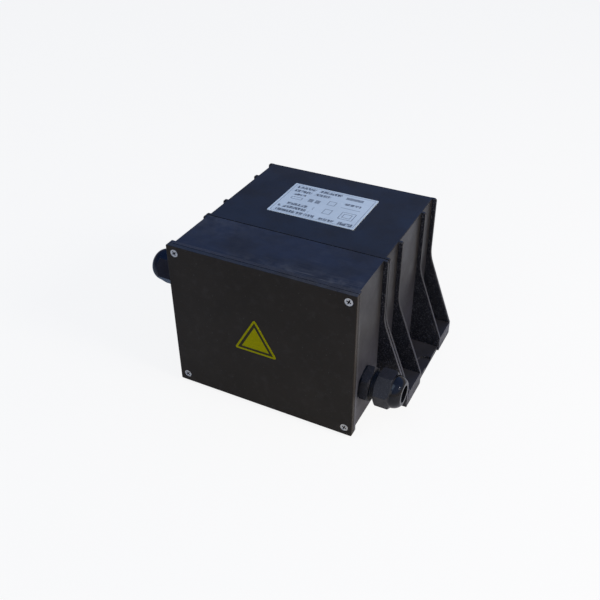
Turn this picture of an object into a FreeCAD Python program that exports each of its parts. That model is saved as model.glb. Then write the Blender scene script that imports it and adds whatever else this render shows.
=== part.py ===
"""Encapsulated safety transformer in a moulded case with a terminal box and two cable glands."""
import FreeCAD, Part
import math
import os

V = FreeCAD.Vector

# Front cover
cover_width = 160.0
cover_height = 133.9
cover_thickness = 4.0
cover_corner_radius = 1.0
cover_edge_radius = 0.6
cover_lift = 3.0
cover_lip_height = 3.0
cover_lip_width = 2.0

# Countersunk cover screws
cover_screw_inset = 6.7
cover_screw_radius = 1.95
cover_screw_length = 18.0
cover_screw_head_radius = 3.25
cover_sink_radius = 3.9
cross_recess_width = 0.9
cross_recess_length = 4.2
cross_recess_depth = 1.5
cross_recess_mouth_radius = 2.3
cross_recess_tip_radius = 0.8

# Terminal box
box_depth = 52.7
box_wall = 3.2
box_partition = 3.0
rim_depth = 3.6
rim_reach = 2.3
rim_width = 5.6
box_top_drop = 1.7
box_bottom_drop = 0.4
post_radius = 4.0
post_hole_depth = 20.0
window_width = 84.0
window_height = 26.0
window_rise = 1.1

# Gaskets
cover_gap = 0.4
cover_gasket_width = 2.2
cover_gasket_inset = 1.9
gasket_groove_depth = 1.2
seam_gap = 1.0
seam_gasket_width = 3.0
seam_gasket_inset = 1.3

# Main case
case_depth = 110.5
case_wall = 3.5
case_edge_radius = 0.9
case_boss_radius = 5.0
case_boss_length = 20.0
case_boss_inset = 14.0
box_screw_radius = 1.95
box_screw_length = 16.0
box_screw_head_radius = 3.6
box_screw_head_height = 2.6
box_screw_end_gap = 1.0
pan_head_chamfer = 0.7
pan_slot_width = 0.8
pan_slot_depth = 1.1

# Gusset ribs and feet
rib_thickness = 2.6
rib_reach = 3.6
rib_corner_radius = 2.2
rib_edge_radius = 0.45
kink_height = 79.0
kink_radius = 40.0
end_bay_width = 25.0
foot_reach = 28.4
shelf_height = 13.1
shelf_skin = 3.0
lug_thickness = 4.1
lug_setback = 1.5
seat_width = 15.0
seat_length = 10.3
seat_depth = 2.4

# Cable glands
gland_distance_from_front = 28.0
right_gland_height = 38.0
left_gland_drop = 38.7
gland_across_flats = 27.0
gland_flange_thickness = 7.1
gland_flange_chamfer = 1.25
gland_back_chamfer = 0.9
gland_thread_radius = 11.1
gland_inner_thread_length = 9.0
gland_bore_radius = 7.1
gland_neck_radius = 10.6
gland_neck_gap = 4.0
gland_neck_overlap = 7.6
collet_radius = 9.8
collet_length = 5.6
collet_slot_width = 1.2
collet_slot_count = 8
gland_seal_wall = 1.3
gland_seal_length = 12.4
nut_hex_length = 13.4
nut_hex_chamfer = 1.9
nut_dome_length = 7.8
nut_dome_root_radius = 13.4
nut_mouth_radius = 9.6
nut_dome_bulge = 1.1
nut_dome_overlap = 0.5
nut_mouth_land = 2.7
gland_washer_thickness = 1.2
gland_washer_radius = 13.2
locknut_thickness = 5.0
gland_flange_twist = 19.0
gland_nut_twist = -9.0

# Plate on the top and decal on the cover
plate_length = 78.4
plate_width = 54.4
plate_thickness = 0.4
plate_corner_radius = 1.0
plate_back_margin = 27.8
decal_side = 36.4
decal_thickness = 0.3
decal_corner_radius = 2.0
decal_offset = -4.0
decal_base_height = 57.4

# Transformer core and coil, with the margins that the core keeps in the case
core_side_margin = 14.2
core_bottom_margin = 14.1
core_top_margin = 14.1
core_front_margin = 29.4
core_back_margin = 25.6
core_bolt_radius = 2.9
core_bolt_hole_radius = 3.2
core_bolt_stickout = 8.0
core_bolt_head_radius = 5.0
core_bolt_head_height = 4.0
bobbin_clearance = 0.5
bobbin_wall = 1.5
bobbin_flange = 1.5
winding_window_gap = 4.0
winding_corner_radius = 6.0
winding_margin = 0.9
tape_thickness = 0.6
cutout_length = 20.0
cutout_width = 12.0
cutout_thickness = 5.0
cutout_corner_radius = 1.0
resin_front_gap = 3.0

# Terminal blocks
primary_poles = 3
primary_pitch = 10.0
primary_block_height = 24.0
primary_block_depth = 18.0
primary_block_offset = -24.0
primary_block_gap = 4.0
primary_entry_radius = 2.8
primary_entry_depth = 8.1
primary_clamp_width = 7.2
primary_clamp_height = 13.4
primary_clamp_screw_radius = 2.0
primary_well_radius = 3.2
secondary_poles = 2
secondary_pitch = 18.0
secondary_block_height = 30.0
secondary_block_depth = 24.0
secondary_block_offset = 20.0
secondary_block_gap = 4.0
secondary_entry_radius = 5.0
secondary_entry_depth = 10.8
secondary_clamp_width = 13.0
secondary_clamp_height = 16.8
secondary_clamp_screw_radius = 3.6
secondary_well_radius = 5.8
clamp_screw_recess = 2.0
clamp_screw_end_gap = 0.3
clamp_screw_slot_width = 1.0
clamp_screw_slot_depth = 1.2
block_cheek = 6.4
block_cheek_height = 14.0
block_screw_radius = 1.45
block_screw_head_radius = 2.8
block_screw_head_height = 1.8
block_screw_grip = 5.0
block_screw_hole_depth = 2.4
block_screw_end_gap = 0.4
primary_lead_radius = 1.3
secondary_lead_radius = 2.2
lead_bend_radius = 6.0
lead_straight = 2.0
lead_bite = 5.0

# Clearances, and the amount by which a cutter passes a face
fit_clearance = 0.3
thread_clearance = 0.05
through = 1.0

# Planes and lines that follow from the sizes above
total_depth = cover_thickness + cover_gap + box_depth + seam_gap + case_depth
front_y = (decal_thickness - total_depth) / 2
cover_back_y = front_y + cover_thickness
rim_front_y = cover_back_y + cover_gap
rim_back_y = rim_front_y + rim_depth
box_back_y = rim_front_y + box_depth
box_inner_back_y = box_back_y - box_partition
case_front_y = box_back_y + seam_gap
case_back_y = case_front_y + case_depth
cover_top_z = cover_lift + cover_height
wall_x = cover_width / 2 - rim_reach
case_top_z = cover_top_z - box_top_drop
box_bottom_z = cover_lift - box_bottom_drop
window_centre_height = (box_bottom_z + case_top_z) / 2 + window_rise
left_gland_height = case_top_z - left_gland_drop
box_inner_x = wall_x - box_wall
box_inner_top_z = case_top_z - box_wall
box_inner_bottom_z = box_bottom_z + box_wall
case_inner_x = wall_x - case_wall
foot_x = wall_x + foot_reach
rib_x = wall_x + rib_reach
rim_inner_x = cover_width / 2 - rim_width
rim_inner_low_z = cover_lift + rim_width
rim_inner_high_z = cover_top_z - rim_width
cover_screw_x = cover_width / 2 - cover_screw_inset
cover_screw_low_z = cover_lift + cover_screw_inset
cover_screw_high_z = cover_top_z - cover_screw_inset
core_stack = case_depth - case_wall - core_front_margin - core_back_margin
core_centre_y = case_front_y + core_front_margin + core_stack / 2
core_bottom_z = case_wall + core_bottom_margin
core_top_z = case_top_z - case_wall - core_top_margin
core_height = core_top_z - core_bottom_z
core_centre_z = core_bottom_z + core_height / 2
core_width = 2 * (case_inner_x - core_side_margin)
core_leg = core_width / 3
core_yoke = core_leg / 2
core_window_width = core_leg / 2
core_bolt_spacing_x = core_width - core_yoke
core_bolt_spacing_z = core_height - core_yoke
winding_build = core_window_width - winding_window_gap
resin_front_y = case_front_y + resin_front_gap


def save(shape, name):
    """Writes one node after checking that it is sound."""
    if not shape.isValid() or not shape.Solids:
        raise ValueError("unsound shape: " + name)
    solids = shape.Solids
    result = solids[0] if len(solids) == 1 else Part.makeCompound(solids)
    result.exportStep("parts/" + name + ".step")


def block(x, y, z):
    """A box between the pairs of values given for each axis."""
    return Part.makeBox(x[1] - x[0], y[1] - y[0], z[1] - z[0], V(x[0], y[0], z[0]))


def rod(radius, start, direction, length):
    """A plain cylinder."""
    return Part.makeCylinder(radius, length, V(*start), V(*direction))


def mirrored(shape):
    """The same shape on the other side of the middle plane."""
    return shape.mirror(V(0, 0, 0), V(1, 0, 0))


def both_sides(shape):
    """A shape together with its mirror image."""
    return [shape, mirrored(shape)]


def rounded_slab(half_x, z, y, radius):
    """A slab across the width with rounded corners in its front view."""
    slab = block((-half_x, half_x), y, z)
    corners = [e for e in slab.Edges if abs(e.tangentAt(e.FirstParameter).y) > 0.9]
    return slab.makeFillet(radius, corners)


def frame_ring(half_x, z, y, width):
    """A flat rectangular ring across the width."""
    outer = block((-half_x, half_x), y, z)
    hole_x = half_x - width
    return outer.cut(block((-hole_x, hole_x), y, (z[0] + width, z[1] - width)))


def hexagon(across_flats, start, length, twist=0.0):
    """A hexagonal prism along +X."""
    radius = across_flats / math.sqrt(3)
    angles = [math.radians(60 * i + twist) for i in range(7)]
    points = [V(start, radius * math.cos(a), radius * math.sin(a)) for a in angles]
    return Part.Face(Part.makePolygon(points)).extrude(V(length, 0, 0))


def turned(points):
    """A closed outline of (along, radius) points turned round the X axis."""
    outline = Part.makePolygon([V(a, r, 0) for a, r in points + points[:1]])
    return Part.Face(outline).revolve(V(0, 0, 0), V(1, 0, 0), 360)


def tube(start, end, outer, inner):
    """A plain tube along +X."""
    return turned([(start, inner), (end, inner), (end, outer), (start, outer)])


# Gusset ribs
def gusset(front):
    """One rib: upright on the upper wall, flared to the foot's edge below the kink."""
    root = wall_x - min(case_wall, box_wall) / 2
    foot_top = V(foot_x, 0, shelf_height)
    kink = V(rib_x, 0, kink_height)
    up_slant = kink.sub(foot_top).normalize()
    turn = up_slant.getAngle(V(0, 0, 1))
    reach = kink_radius * math.tan(turn / 2)
    bend_start = kink.sub(V(up_slant) * reach)
    bend_end = kink.add(V(0, 0, reach))
    bend_centre = bend_end.add(V(kink_radius, 0, 0))
    bend_middle = bend_centre.add(kink.sub(bend_centre).normalize() * kink_radius)
    corner_centre = V(rib_x - rib_corner_radius, 0, case_top_z - rib_corner_radius)
    diagonal = rib_corner_radius / math.sqrt(2)
    corner_middle = corner_centre.add(V(diagonal, 0, diagonal))
    corner_start = corner_centre.add(V(rib_corner_radius, 0, 0))
    corner_end = corner_centre.add(V(0, 0, rib_corner_radius))
    slant = Part.makeLine(foot_top, bend_start)
    bend = Part.Arc(bend_start, bend_middle, bend_end).toShape()
    upright = Part.makeLine(bend_end, corner_start)
    corner = Part.Arc(corner_start, corner_middle, corner_end).toShape()
    outside = [
        Part.makeLine(V(root, 0, 0), V(foot_x, 0, 0)),
        Part.makeLine(V(foot_x, 0, 0), foot_top),
        slant,
        bend,
        upright,
        corner,
        Part.makeLine(corner_end, V(root, 0, case_top_z)),
        Part.makeLine(V(root, 0, case_top_z), V(root, 0, 0)),
    ]
    rib = Part.Face(Part.Wire(outside)).extrude(V(0, rib_thickness, 0))
    rounded = [e for e in rib.Edges if is_outer_rib_edge(e)]
    rib = rib.makeFillet(rib_edge_radius, rounded)
    rib.translate(V(0, front, 0))
    return rib


def is_outer_rib_edge(edge):
    """True for the long edges that follow a rib's slant, bend, upright and top corner."""
    box = edge.BoundBox
    lies_flat = box.YLength < 0.01
    off_floor = box.ZMin > shelf_height - 0.01 and box.ZLength > 0.01
    return lies_flat and off_floor and box.XMin > wall_x


# Main case
def rib_fronts():
    """Front faces of the case's four ribs, from the seam to the rear."""
    rear = case_back_y - rib_thickness
    second = rear - end_bay_width - rib_thickness
    third = case_front_y + rib_thickness + end_bay_width
    return [case_front_y, third, second, rear]


def case_shell():
    """A tub with its mouth to the front, its top and rear edges rounded."""
    outer = block((-wall_x, wall_x), (case_front_y, case_back_y), (0, case_top_z))
    edges = []
    for edge in outer.Edges:
        box = edge.BoundBox
        rear = box.YMin > case_back_y - 0.01
        top_side = box.ZMin > case_top_z - 0.01 and box.YLength > 1
        if (rear and box.ZMax > 0.01) or top_side:
            edges.append(edge)
    outer = outer.makeFillet(case_edge_radius, edges)
    inner_y = (case_front_y - through, case_back_y - case_wall)
    inner_z = (case_wall, case_top_z - case_wall)
    return outer.cut(block((-case_inner_x, case_inner_x), inner_y, inner_z))


def foot_shelf(front, back):
    """A raised shelf between two ribs, cored from below."""
    solid = block((wall_x - case_wall / 2, foot_x), (front, back), (0, shelf_height))
    core_x = (wall_x + shelf_skin / 2, foot_x - shelf_skin)
    core_y = (front + shelf_skin / 2, back - shelf_skin / 2)
    return solid.cut(block(core_x, core_y, (-through, shelf_height - shelf_skin)))


def screw_lug(front, back):
    """A thin lug between two ribs with a U-shaped sunk seat open to the outside."""
    outer_x = foot_x - lug_setback
    lug = block((wall_x - case_wall / 2, outer_x), (front, back), (0, lug_thickness))
    middle = (front + back) / 2
    radius = seat_width / 2
    floor_z = lug_thickness - seat_depth
    round_x = outer_x - seat_length + radius
    seat_y = (middle - radius, middle + radius)
    seat = block((round_x, outer_x + through), seat_y, (floor_z, lug_thickness + through))
    round_end = rod(radius, (round_x, middle, floor_z), (0, 0, 1), seat_depth + through)
    return lug.cut(seat.fuse(round_end))


def boss_places():
    """Centres of the screws that join the terminal box to the case."""
    x = wall_x - case_boss_inset
    low = box_bottom_z + case_boss_inset
    high = case_top_z - case_boss_inset
    return [(sx * x, z) for sx in (-1, 1) for z in (low, high)]


def case_boss(x, z):
    """A screw boss on two webs that reach the nearest walls."""
    boss = rod(case_boss_radius, (x, case_front_y, z), (0, 1, 0), case_boss_length)
    y = (case_front_y, case_front_y + case_boss_length)
    side = math.copysign(1, x)
    wall = side * (wall_x - case_wall / 2)
    web = rib_thickness / 2
    across = block((min(x, wall), max(x, wall)), y, (z - web, z + web))
    edge_z = case_wall / 2 if z < case_top_z / 2 else case_top_z - case_wall / 2
    upright = block((x - web, x + web), y, (min(z, edge_z), max(z, edge_z)))
    return boss.fuse([across, upright])


def main_case():
    """The moulded case with its ribs, shelves, lugs and screw bosses in one piece."""
    fronts = rib_fronts()
    backs = [y + rib_thickness for y in fronts]
    side = [gusset(y) for y in fronts]
    overlap = rib_thickness / 2
    for i in (0, 2):
        side.append(foot_shelf(backs[i] - overlap, fronts[i + 1] + overlap))
    side.append(screw_lug(backs[1] - overlap, fronts[2] + overlap))
    pieces = []
    for piece in side:
        pieces.extend(both_sides(piece))
    pieces.extend(case_boss(x, z) for x, z in boss_places())
    case = case_shell().fuse(pieces)
    hole = box_screw_radius + thread_clearance
    for x, z in boss_places():
        start = (x, case_front_y - through, z)
        case = case.cut(rod(hole, start, (0, 1, 0), box_screw_length + through))
    return case.removeSplitter()


# Terminal box
def cover_screw_places():
    """Centres of the four cover screws."""
    heights = (cover_screw_low_z, cover_screw_high_z)
    return [(sx * cover_screw_x, z) for sx in (-1, 1) for z in heights]


def gland_places():
    """Side (+1 right, -1 left) and height of each gland."""
    return {"right": (1, right_gland_height), "left": (-1, left_gland_height)}


def cover_gasket_ring(y):
    """The ring that the cover gasket and its groove share."""
    half_x = cover_width / 2 - cover_gasket_inset
    z = (cover_lift + cover_gasket_inset, cover_top_z - cover_gasket_inset)
    return frame_ring(half_x, z, y, cover_gasket_width)


def terminal_block_places():
    """Place and sizes of the two terminal blocks, above and below the partition's window."""
    window_half = window_height / 2
    primary_z = window_centre_height + window_half + primary_block_gap + primary_block_height / 2
    secondary_z = window_centre_height - window_half - secondary_block_gap
    secondary_z -= secondary_block_height / 2
    return {
        "primary": {
            "x": primary_block_offset,
            "z": primary_z,
            "poles": primary_poles,
            "pitch": primary_pitch,
            "height": primary_block_height,
            "depth": primary_block_depth,
            "entry": primary_entry_radius,
            "entry_y": box_inner_back_y - primary_entry_depth,
            "clamp_width": primary_clamp_width,
            "clamp_height": primary_clamp_height,
            "screw": primary_clamp_screw_radius,
            "well": primary_well_radius,
            "lead": primary_lead_radius,
            "window_side": -1,
        },
        "secondary": {
            "x": secondary_block_offset,
            "z": secondary_z,
            "poles": secondary_poles,
            "pitch": secondary_pitch,
            "height": secondary_block_height,
            "depth": secondary_block_depth,
            "entry": secondary_entry_radius,
            "entry_y": box_inner_back_y - secondary_entry_depth,
            "clamp_width": secondary_clamp_width,
            "clamp_height": secondary_clamp_height,
            "screw": secondary_clamp_screw_radius,
            "well": secondary_well_radius,
            "lead": secondary_lead_radius,
            "window_side": 1,
        },
    }


def block_screw_places(place):
    """Centres of the two screws that hold a terminal block."""
    reach = place["poles"] * place["pitch"] / 2 + block_cheek / 2
    return [(place["x"] - reach, place["z"]), (place["x"] + reach, place["z"])]


def terminal_box():
    """Four walls, a front rim, a partition with a window, corner posts and two gussets."""
    outer_y = (rim_front_y, box_back_y)
    outer = block((-wall_x, wall_x), outer_y, (box_bottom_z, case_top_z))
    rim_y = (rim_front_y, rim_back_y)
    rim = rounded_slab(cover_width / 2, (cover_lift, cover_top_z), rim_y, cover_corner_radius)
    outer = outer.fuse(rim)
    inner_y = (rim_back_y, box_inner_back_y)
    inner_z = (box_inner_bottom_z, box_inner_top_z)
    room = block((-box_inner_x, box_inner_x), inner_y, inner_z)
    mouth_x = (-rim_inner_x, rim_inner_x)
    mouth_y = (rim_front_y - through, rim_back_y)
    mouth = block(mouth_x, mouth_y, (rim_inner_low_z, rim_inner_high_z))
    box = outer.cut([room, mouth])
    pieces = both_sides(gusset(box_back_y - rib_thickness))
    for x, z in cover_screw_places():
        length = box_back_y - rim_front_y
        pieces.append(rod(post_radius, (x, rim_front_y, z), (0, 1, 0), length))
    box = box.fuse(pieces)
    half_window = window_width / 2
    low = window_centre_height - window_height / 2
    past_partition = (box_inner_back_y - through, box_back_y + through)
    cutters = [block((-half_window, half_window), past_partition, (low, low + window_height))]
    hole = cover_screw_radius + thread_clearance
    for x, z in cover_screw_places():
        start = (x, rim_front_y - through, z)
        cutters.append(rod(hole, start, (0, 1, 0), post_hole_depth + through))
    for x, z in boss_places():
        start = (x, past_partition[0], z)
        length = past_partition[1] - past_partition[0]
        cutters.append(rod(box_screw_radius + fit_clearance, start, (0, 1, 0), length))
    for side, height in gland_places().values():
        start = (side * (box_inner_x - through), front_y + gland_distance_from_front, height)
        radius = gland_thread_radius + fit_clearance / 2
        cutters.append(rod(radius, start, (side, 0, 0), box_wall + 2 * through))
    for place in terminal_block_places().values():
        for x, z in block_screw_places(place):
            start = (x, past_partition[0], z)
            radius = block_screw_radius + thread_clearance
            cutters.append(rod(radius, start, (0, 1, 0), block_screw_hole_depth + through))
    cutters.append(cover_gasket_ring((rim_front_y - through, rim_front_y + gasket_groove_depth)))
    return box.cut(cutters).removeSplitter()


def seam_gasket():
    """The flat gasket between the terminal box and the case."""
    half_x = wall_x - seam_gasket_inset
    z = (box_bottom_z + seam_gasket_inset, case_top_z - seam_gasket_inset)
    return frame_ring(half_x, z, (box_back_y, case_front_y), seam_gasket_width)


# Front cover and its screws
def countersunk(head_radius, extra):
    """A 45 degree head on a shank, turned round +Y and widened by a clearance."""
    head = head_radius + extra
    shank = cover_screw_radius + extra
    outline = [
        (0, 0),
        (0, head),
        (head_radius - cover_screw_radius, shank),
        (cover_screw_length, shank),
        (cover_screw_length, 0),
    ]
    shape = turned(outline)
    shape.rotate(V(0, 0, 0), V(0, 0, 1), 90)
    return shape


def front_cover():
    """A flat plate with rounded edges, countersunk holes and a locating lip behind."""
    y = (front_y, cover_back_y)
    plate = rounded_slab(cover_width / 2, (cover_lift, cover_top_z), y, cover_corner_radius)
    front_edges = [e for e in plate.Edges if e.BoundBox.YMax < front_y + 0.01]
    plate = plate.makeFillet(cover_edge_radius, front_edges)
    lip_x = cover_screw_x - post_radius - fit_clearance
    lip_low = cover_screw_low_z + post_radius + fit_clearance
    lip_high = cover_screw_high_z - post_radius - fit_clearance
    lip_y = (cover_back_y, cover_back_y + cover_gap + cover_lip_height)
    for side in (-1, 1):
        outer = side * (rim_inner_x - fit_clearance)
        inner = outer - side * cover_lip_width
        plate = plate.fuse(block(sorted((outer, inner)), lip_y, (lip_low, lip_high)))
    for edge, step in ((rim_inner_low_z, 1), (rim_inner_high_z, -1)):
        outer = edge + step * fit_clearance
        inner = outer + step * cover_lip_width
        plate = plate.fuse(block((-lip_x, lip_x), lip_y, sorted((outer, inner))))
    for x, z in cover_screw_places():
        sink = countersunk(cover_sink_radius, thread_clearance)
        sink.translate(V(x, front_y, z))
        plate = plate.cut(sink)
    return plate.removeSplitter()


def cover_screws():
    """Four countersunk screws with cross recesses, a little below the cover's face."""
    screw = countersunk(cover_screw_head_radius, 0)
    half = cross_recess_length / 2
    arm = cross_recess_width / 2
    y = (0, cross_recess_depth)
    cross = block((-half, half), y, (-arm, arm)).fuse(block((-arm, arm), y, (-half, half)))
    ends = (cross_recess_mouth_radius, cross_recess_tip_radius)
    taper = Part.makeCone(ends[0], ends[1], cross_recess_depth, V(0, 0, 0), V(0, 1, 0))
    head_y = front_y + cover_sink_radius - cover_screw_head_radius
    return spread(screw.cut(cross.common(taper)), cover_screw_places(), head_y)


def pan_screw(radius, length, head_radius, head_height):
    """A slotted pan head screw along +Y with its head in front of the origin."""
    chamfer = pan_head_chamfer
    outline = [
        (-head_height, 0),
        (-head_height, head_radius - chamfer),
        (chamfer - head_height, head_radius),
        (0, head_radius),
        (0, radius),
        (length, radius),
        (length, 0),
    ]
    screw = turned(outline)
    screw.rotate(V(0, 0, 0), V(0, 0, 1), 90)
    slot_x = (-head_radius - through, head_radius + through)
    slot_y = (-head_height - through, pan_slot_depth - head_height)
    slot_z = (-pan_slot_width / 2, pan_slot_width / 2)
    return screw.cut(block(slot_x, slot_y, slot_z))


def box_screws():
    """Four screws from inside the terminal box into the case's bosses."""
    length = box_partition + seam_gap + box_screw_length - box_screw_end_gap
    screw = pan_screw(box_screw_radius, length, box_screw_head_radius, box_screw_head_height)
    return spread(screw, boss_places(), box_inner_back_y)


def spread(shape, places, y):
    """Copies of a shape at (x, z) places on one plane across Y."""
    copies = []
    for x, z in places:
        copy = shape.copy()
        copy.translate(V(x, y, z))
        copies.append(copy)
    return Part.makeCompound(copies)


# Cable glands, drawn along +X from the wall's outer face
flange_start = gland_washer_thickness
flange_end = flange_start + gland_flange_thickness
nut_start = flange_end + gland_neck_gap
neck_end = nut_start + gland_neck_overlap
collet_end = neck_end + collet_length
nut_hex_end = nut_start + nut_hex_length
nut_end = nut_hex_end + nut_dome_length
seal_radius = gland_bore_radius + gland_seal_wall
seal_start = collet_end - gland_seal_length


def gland_body():
    """Inner thread, hexagonal flange, neck and slotted collet in one piece."""
    inner_end = -box_wall - gland_inner_thread_length
    flange_middle = (flange_start + flange_end) / 2
    body = tube(inner_end, flange_middle, gland_thread_radius, gland_bore_radius)
    flange = hexagon(gland_across_flats, flange_start, gland_flange_thickness, gland_flange_twist)
    flange = flange.common(chamfer_cone(flange_start, flange_end, gland_flange_chamfer))
    neck = tube(flange_middle, neck_end, gland_neck_radius, gland_bore_radius)
    collet = tube(neck_end, collet_end, collet_radius, gland_bore_radius)
    body = body.fuse([flange, neck, collet])
    bore_length = collet_end - inner_end + 2 * through
    body = body.cut(rod(gland_bore_radius, (inner_end - through, 0, 0), (1, 0, 0), bore_length))
    seat_radius = seal_radius + thread_clearance
    seat_length = gland_seal_length + through
    body = body.cut(rod(seat_radius, (seal_start, 0, 0), (1, 0, 0), seat_length))
    half = collet_slot_width / 2
    across = collet_radius + through
    slots = []
    for i in range(collet_slot_count // 2):
        slot = block((neck_end, collet_end + through), (-across, across), (-half, half))
        slot.rotate(V(0, 0, 0), V(1, 0, 0), 360.0 * i / collet_slot_count)
        slots.append(slot)
    return body.cut(slots)


def chamfer_cone(start, end, outer_chamfer):
    """A turned envelope that takes the corners off a hexagon at both ends."""
    corner = gland_across_flats / math.sqrt(3)
    flat = gland_across_flats / 2
    outline = [
        (start, 0),
        (start, flat),
        (start + gland_back_chamfer, corner),
        (end - outer_chamfer, corner),
        (end, flat),
        (end, 0),
    ]
    return turned(outline)


def gland_seal():
    """A rubber sleeve inside the collet."""
    return tube(seal_start, collet_end, seal_radius, gland_bore_radius)


def gland_washer():
    """A flat sealing ring between the flange and the wall."""
    inner = gland_thread_radius + fit_clearance / 2
    return tube(0, gland_washer_thickness, gland_washer_radius, inner)


def gland_locknut():
    """A hexagonal nut on the inner thread."""
    start = -box_wall - locknut_thickness
    nut = hexagon(gland_across_flats, start, locknut_thickness, gland_flange_twist)
    radius = gland_thread_radius + thread_clearance
    hole_length = locknut_thickness + 2 * through
    return nut.cut(rod(radius, (start - through, 0, 0), (1, 0, 0), hole_length))


def gland_nut():
    """The dome nut: a chamfered hexagon, a domed nose and a conical inside."""
    nut = hexagon(gland_across_flats, nut_start, nut_hex_length, gland_nut_twist)
    nut = nut.common(chamfer_cone(nut_start, nut_hex_end, nut_hex_chamfer))
    root = V(nut_hex_end, nut_dome_root_radius, 0)
    mouth = V(nut_end, nut_mouth_radius, 0)
    chord = mouth.sub(root)
    outward = V(-chord.y, chord.x, 0).normalize()
    crown = root.add(mouth).multiply(0.5).add(outward * nut_dome_bulge)
    start = V(nut_hex_end - nut_dome_overlap, 0, 0)
    outline = [
        Part.makeLine(start, V(start.x, nut_dome_root_radius, 0)),
        Part.makeLine(V(start.x, nut_dome_root_radius, 0), root),
        Part.Arc(root, crown, mouth).toShape(),
        Part.makeLine(mouth, V(nut_end, 0, 0)),
        Part.makeLine(V(nut_end, 0, 0), start),
    ]
    dome = Part.Face(Part.Wire(outline)).revolve(V(0, 0, 0), V(1, 0, 0), 360)
    nut = nut.fuse(dome)
    thread = gland_neck_radius + thread_clearance
    cone_start = collet_end + fit_clearance
    inside = [
        (nut_start - through, 0),
        (nut_start - through, thread),
        (cone_start, thread),
        (nut_end - nut_mouth_land, gland_bore_radius),
        (nut_end + through, gland_bore_radius),
        (nut_end + through, 0),
    ]
    return nut.cut(turned(inside))


def placed_gland(shape, side, height):
    """A gland piece moved to its wall; the left one points to -X."""
    copy = shape.copy()
    if side < 0:
        copy.rotate(V(0, 0, 0), V(0, 0, 1), 180)
    copy.translate(V(side * wall_x, front_y + gland_distance_from_front, height))
    return copy


# Flat pieces on the outside
def top_plate():
    """The plain plate on the case's top."""
    back = case_back_y - plate_back_margin
    x = (-plate_length / 2, plate_length / 2)
    plate = block(x, (back - plate_width, back), (case_top_z, case_top_z + plate_thickness))
    corners = [e for e in plate.Edges if e.BoundBox.ZLength > plate_thickness / 2]
    return plate.makeFillet(plate_corner_radius, corners)


def cover_decal():
    """A plain triangular decal with rounded corners on the cover."""
    half = decal_side / 2
    rise = decal_side * math.sqrt(3) / 2
    base = decal_base_height
    points = [V(-half, 0, base), V(half, 0, base), V(0, 0, base + rise), V(-half, 0, base)]
    points = [p.add(V(decal_offset, front_y, 0)) for p in points]
    decal = Part.Face(Part.makePolygon(points)).extrude(V(0, -decal_thickness, 0))
    corners = [e for e in decal.Edges if e.BoundBox.YLength > decal_thickness / 2]
    return decal.makeFillet(decal_corner_radius, corners)


# Transformer inside the case
leg_x = core_leg / 2
core_window_x = leg_x + core_window_width
core_y = (core_centre_y - core_stack / 2, core_centre_y + core_stack / 2)
chamber_z = (core_bottom_z + core_yoke, core_top_z - core_yoke)
bobbin_x = leg_x + bobbin_clearance
bobbin_y = core_stack / 2 + bobbin_clearance
winding_x = bobbin_x + bobbin_wall
winding_y = bobbin_y + bobbin_wall


def rect_tube(inner, outer, z, radius=0.0):
    """A rectangular tube round the core's middle leg."""
    shapes = []
    for half_x, half_y in (outer, inner):
        y = (core_centre_y - half_y, core_centre_y + half_y)
        shapes.append(block((-half_x, half_x), y, z))
    if radius > 0:
        edges = [e for e in shapes[0].Edges if e.BoundBox.ZLength > 1]
        shapes[0] = shapes[0].makeFillet(radius, edges)
    return shapes[0].cut(shapes[1])


def core_bolt_places():
    """Centres of the four bolts through the core's corners."""
    x = core_bolt_spacing_x / 2
    z = core_bolt_spacing_z / 2
    return [(sx * x, core_centre_z + sz * z) for sx in (-1, 1) for sz in (-1, 1)]


def laminated_core():
    """The E and I stack with two windows and four bolt holes."""
    stack = block((-core_width / 2, core_width / 2), core_y, (core_bottom_z, core_top_z))
    past_stack = (core_y[0] - through, core_y[1] + through)
    windows = both_sides(block((leg_x, core_window_x), past_stack, chamber_z))
    hole = rod(core_bolt_hole_radius, (0, 0, 0), (0, 1, 0), core_stack + 2 * through)
    holes = spread(hole, core_bolt_places(), past_stack[0])
    return stack.cut(windows + holes.Solids)


def core_bolts():
    """Four bolts with round heads and nuts that clamp the stack."""
    height = core_bolt_head_height
    shank = rod(core_bolt_radius, (0, 0, 0), (0, 1, 0), core_stack + core_bolt_stickout)
    head = rod(core_bolt_head_radius, (0, -height, 0), (0, 1, 0), height)
    nut = rod(core_bolt_head_radius, (0, core_stack, 0), (0, 1, 0), height)
    return spread(shank.fuse([head, nut]), core_bolt_places(), core_y[0])


def flange_heights():
    """Lower faces of the bobbin's three flanges."""
    low = chamber_z[0] + bobbin_clearance
    high = chamber_z[1] - bobbin_clearance - bobbin_flange
    return [low, (low + high) / 2, high]


def bobbin():
    """A two-chamber former round the middle leg."""
    heights = flange_heights()
    z = (heights[0], heights[-1] + bobbin_flange)
    inner = (bobbin_x, bobbin_y)
    outer = (winding_x + winding_build, winding_y + winding_build)
    body = rect_tube(inner, (winding_x, winding_y), z)
    for low in heights:
        body = body.fuse(rect_tube(inner, outer, (low, low + bobbin_flange)))
    return body.removeSplitter()


def winding(chamber, inset, build):
    """A wound coil, or its tape, in the lower (0) or upper (1) chamber."""
    heights = flange_heights()
    z = (heights[chamber] + bobbin_flange, heights[chamber + 1])
    inner = (winding_x + inset, winding_y + inset)
    outer = (inner[0] + build, inner[1] + build)
    coil = rect_tube((winding_x, winding_y), outer, z, winding_corner_radius)
    if inset > 0:
        taped = rect_tube((winding_x, winding_y), inner, z, winding_corner_radius - build)
        coil = coil.cut(taped)
    return coil


coil_build = winding_build - winding_margin - tape_thickness
coil_front_y = core_centre_y - winding_y - coil_build - tape_thickness


def winding_tape():
    """The tape round each coil."""
    return Part.makeCompound([winding(chamber, coil_build, tape_thickness) for chamber in (0, 1)])


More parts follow.
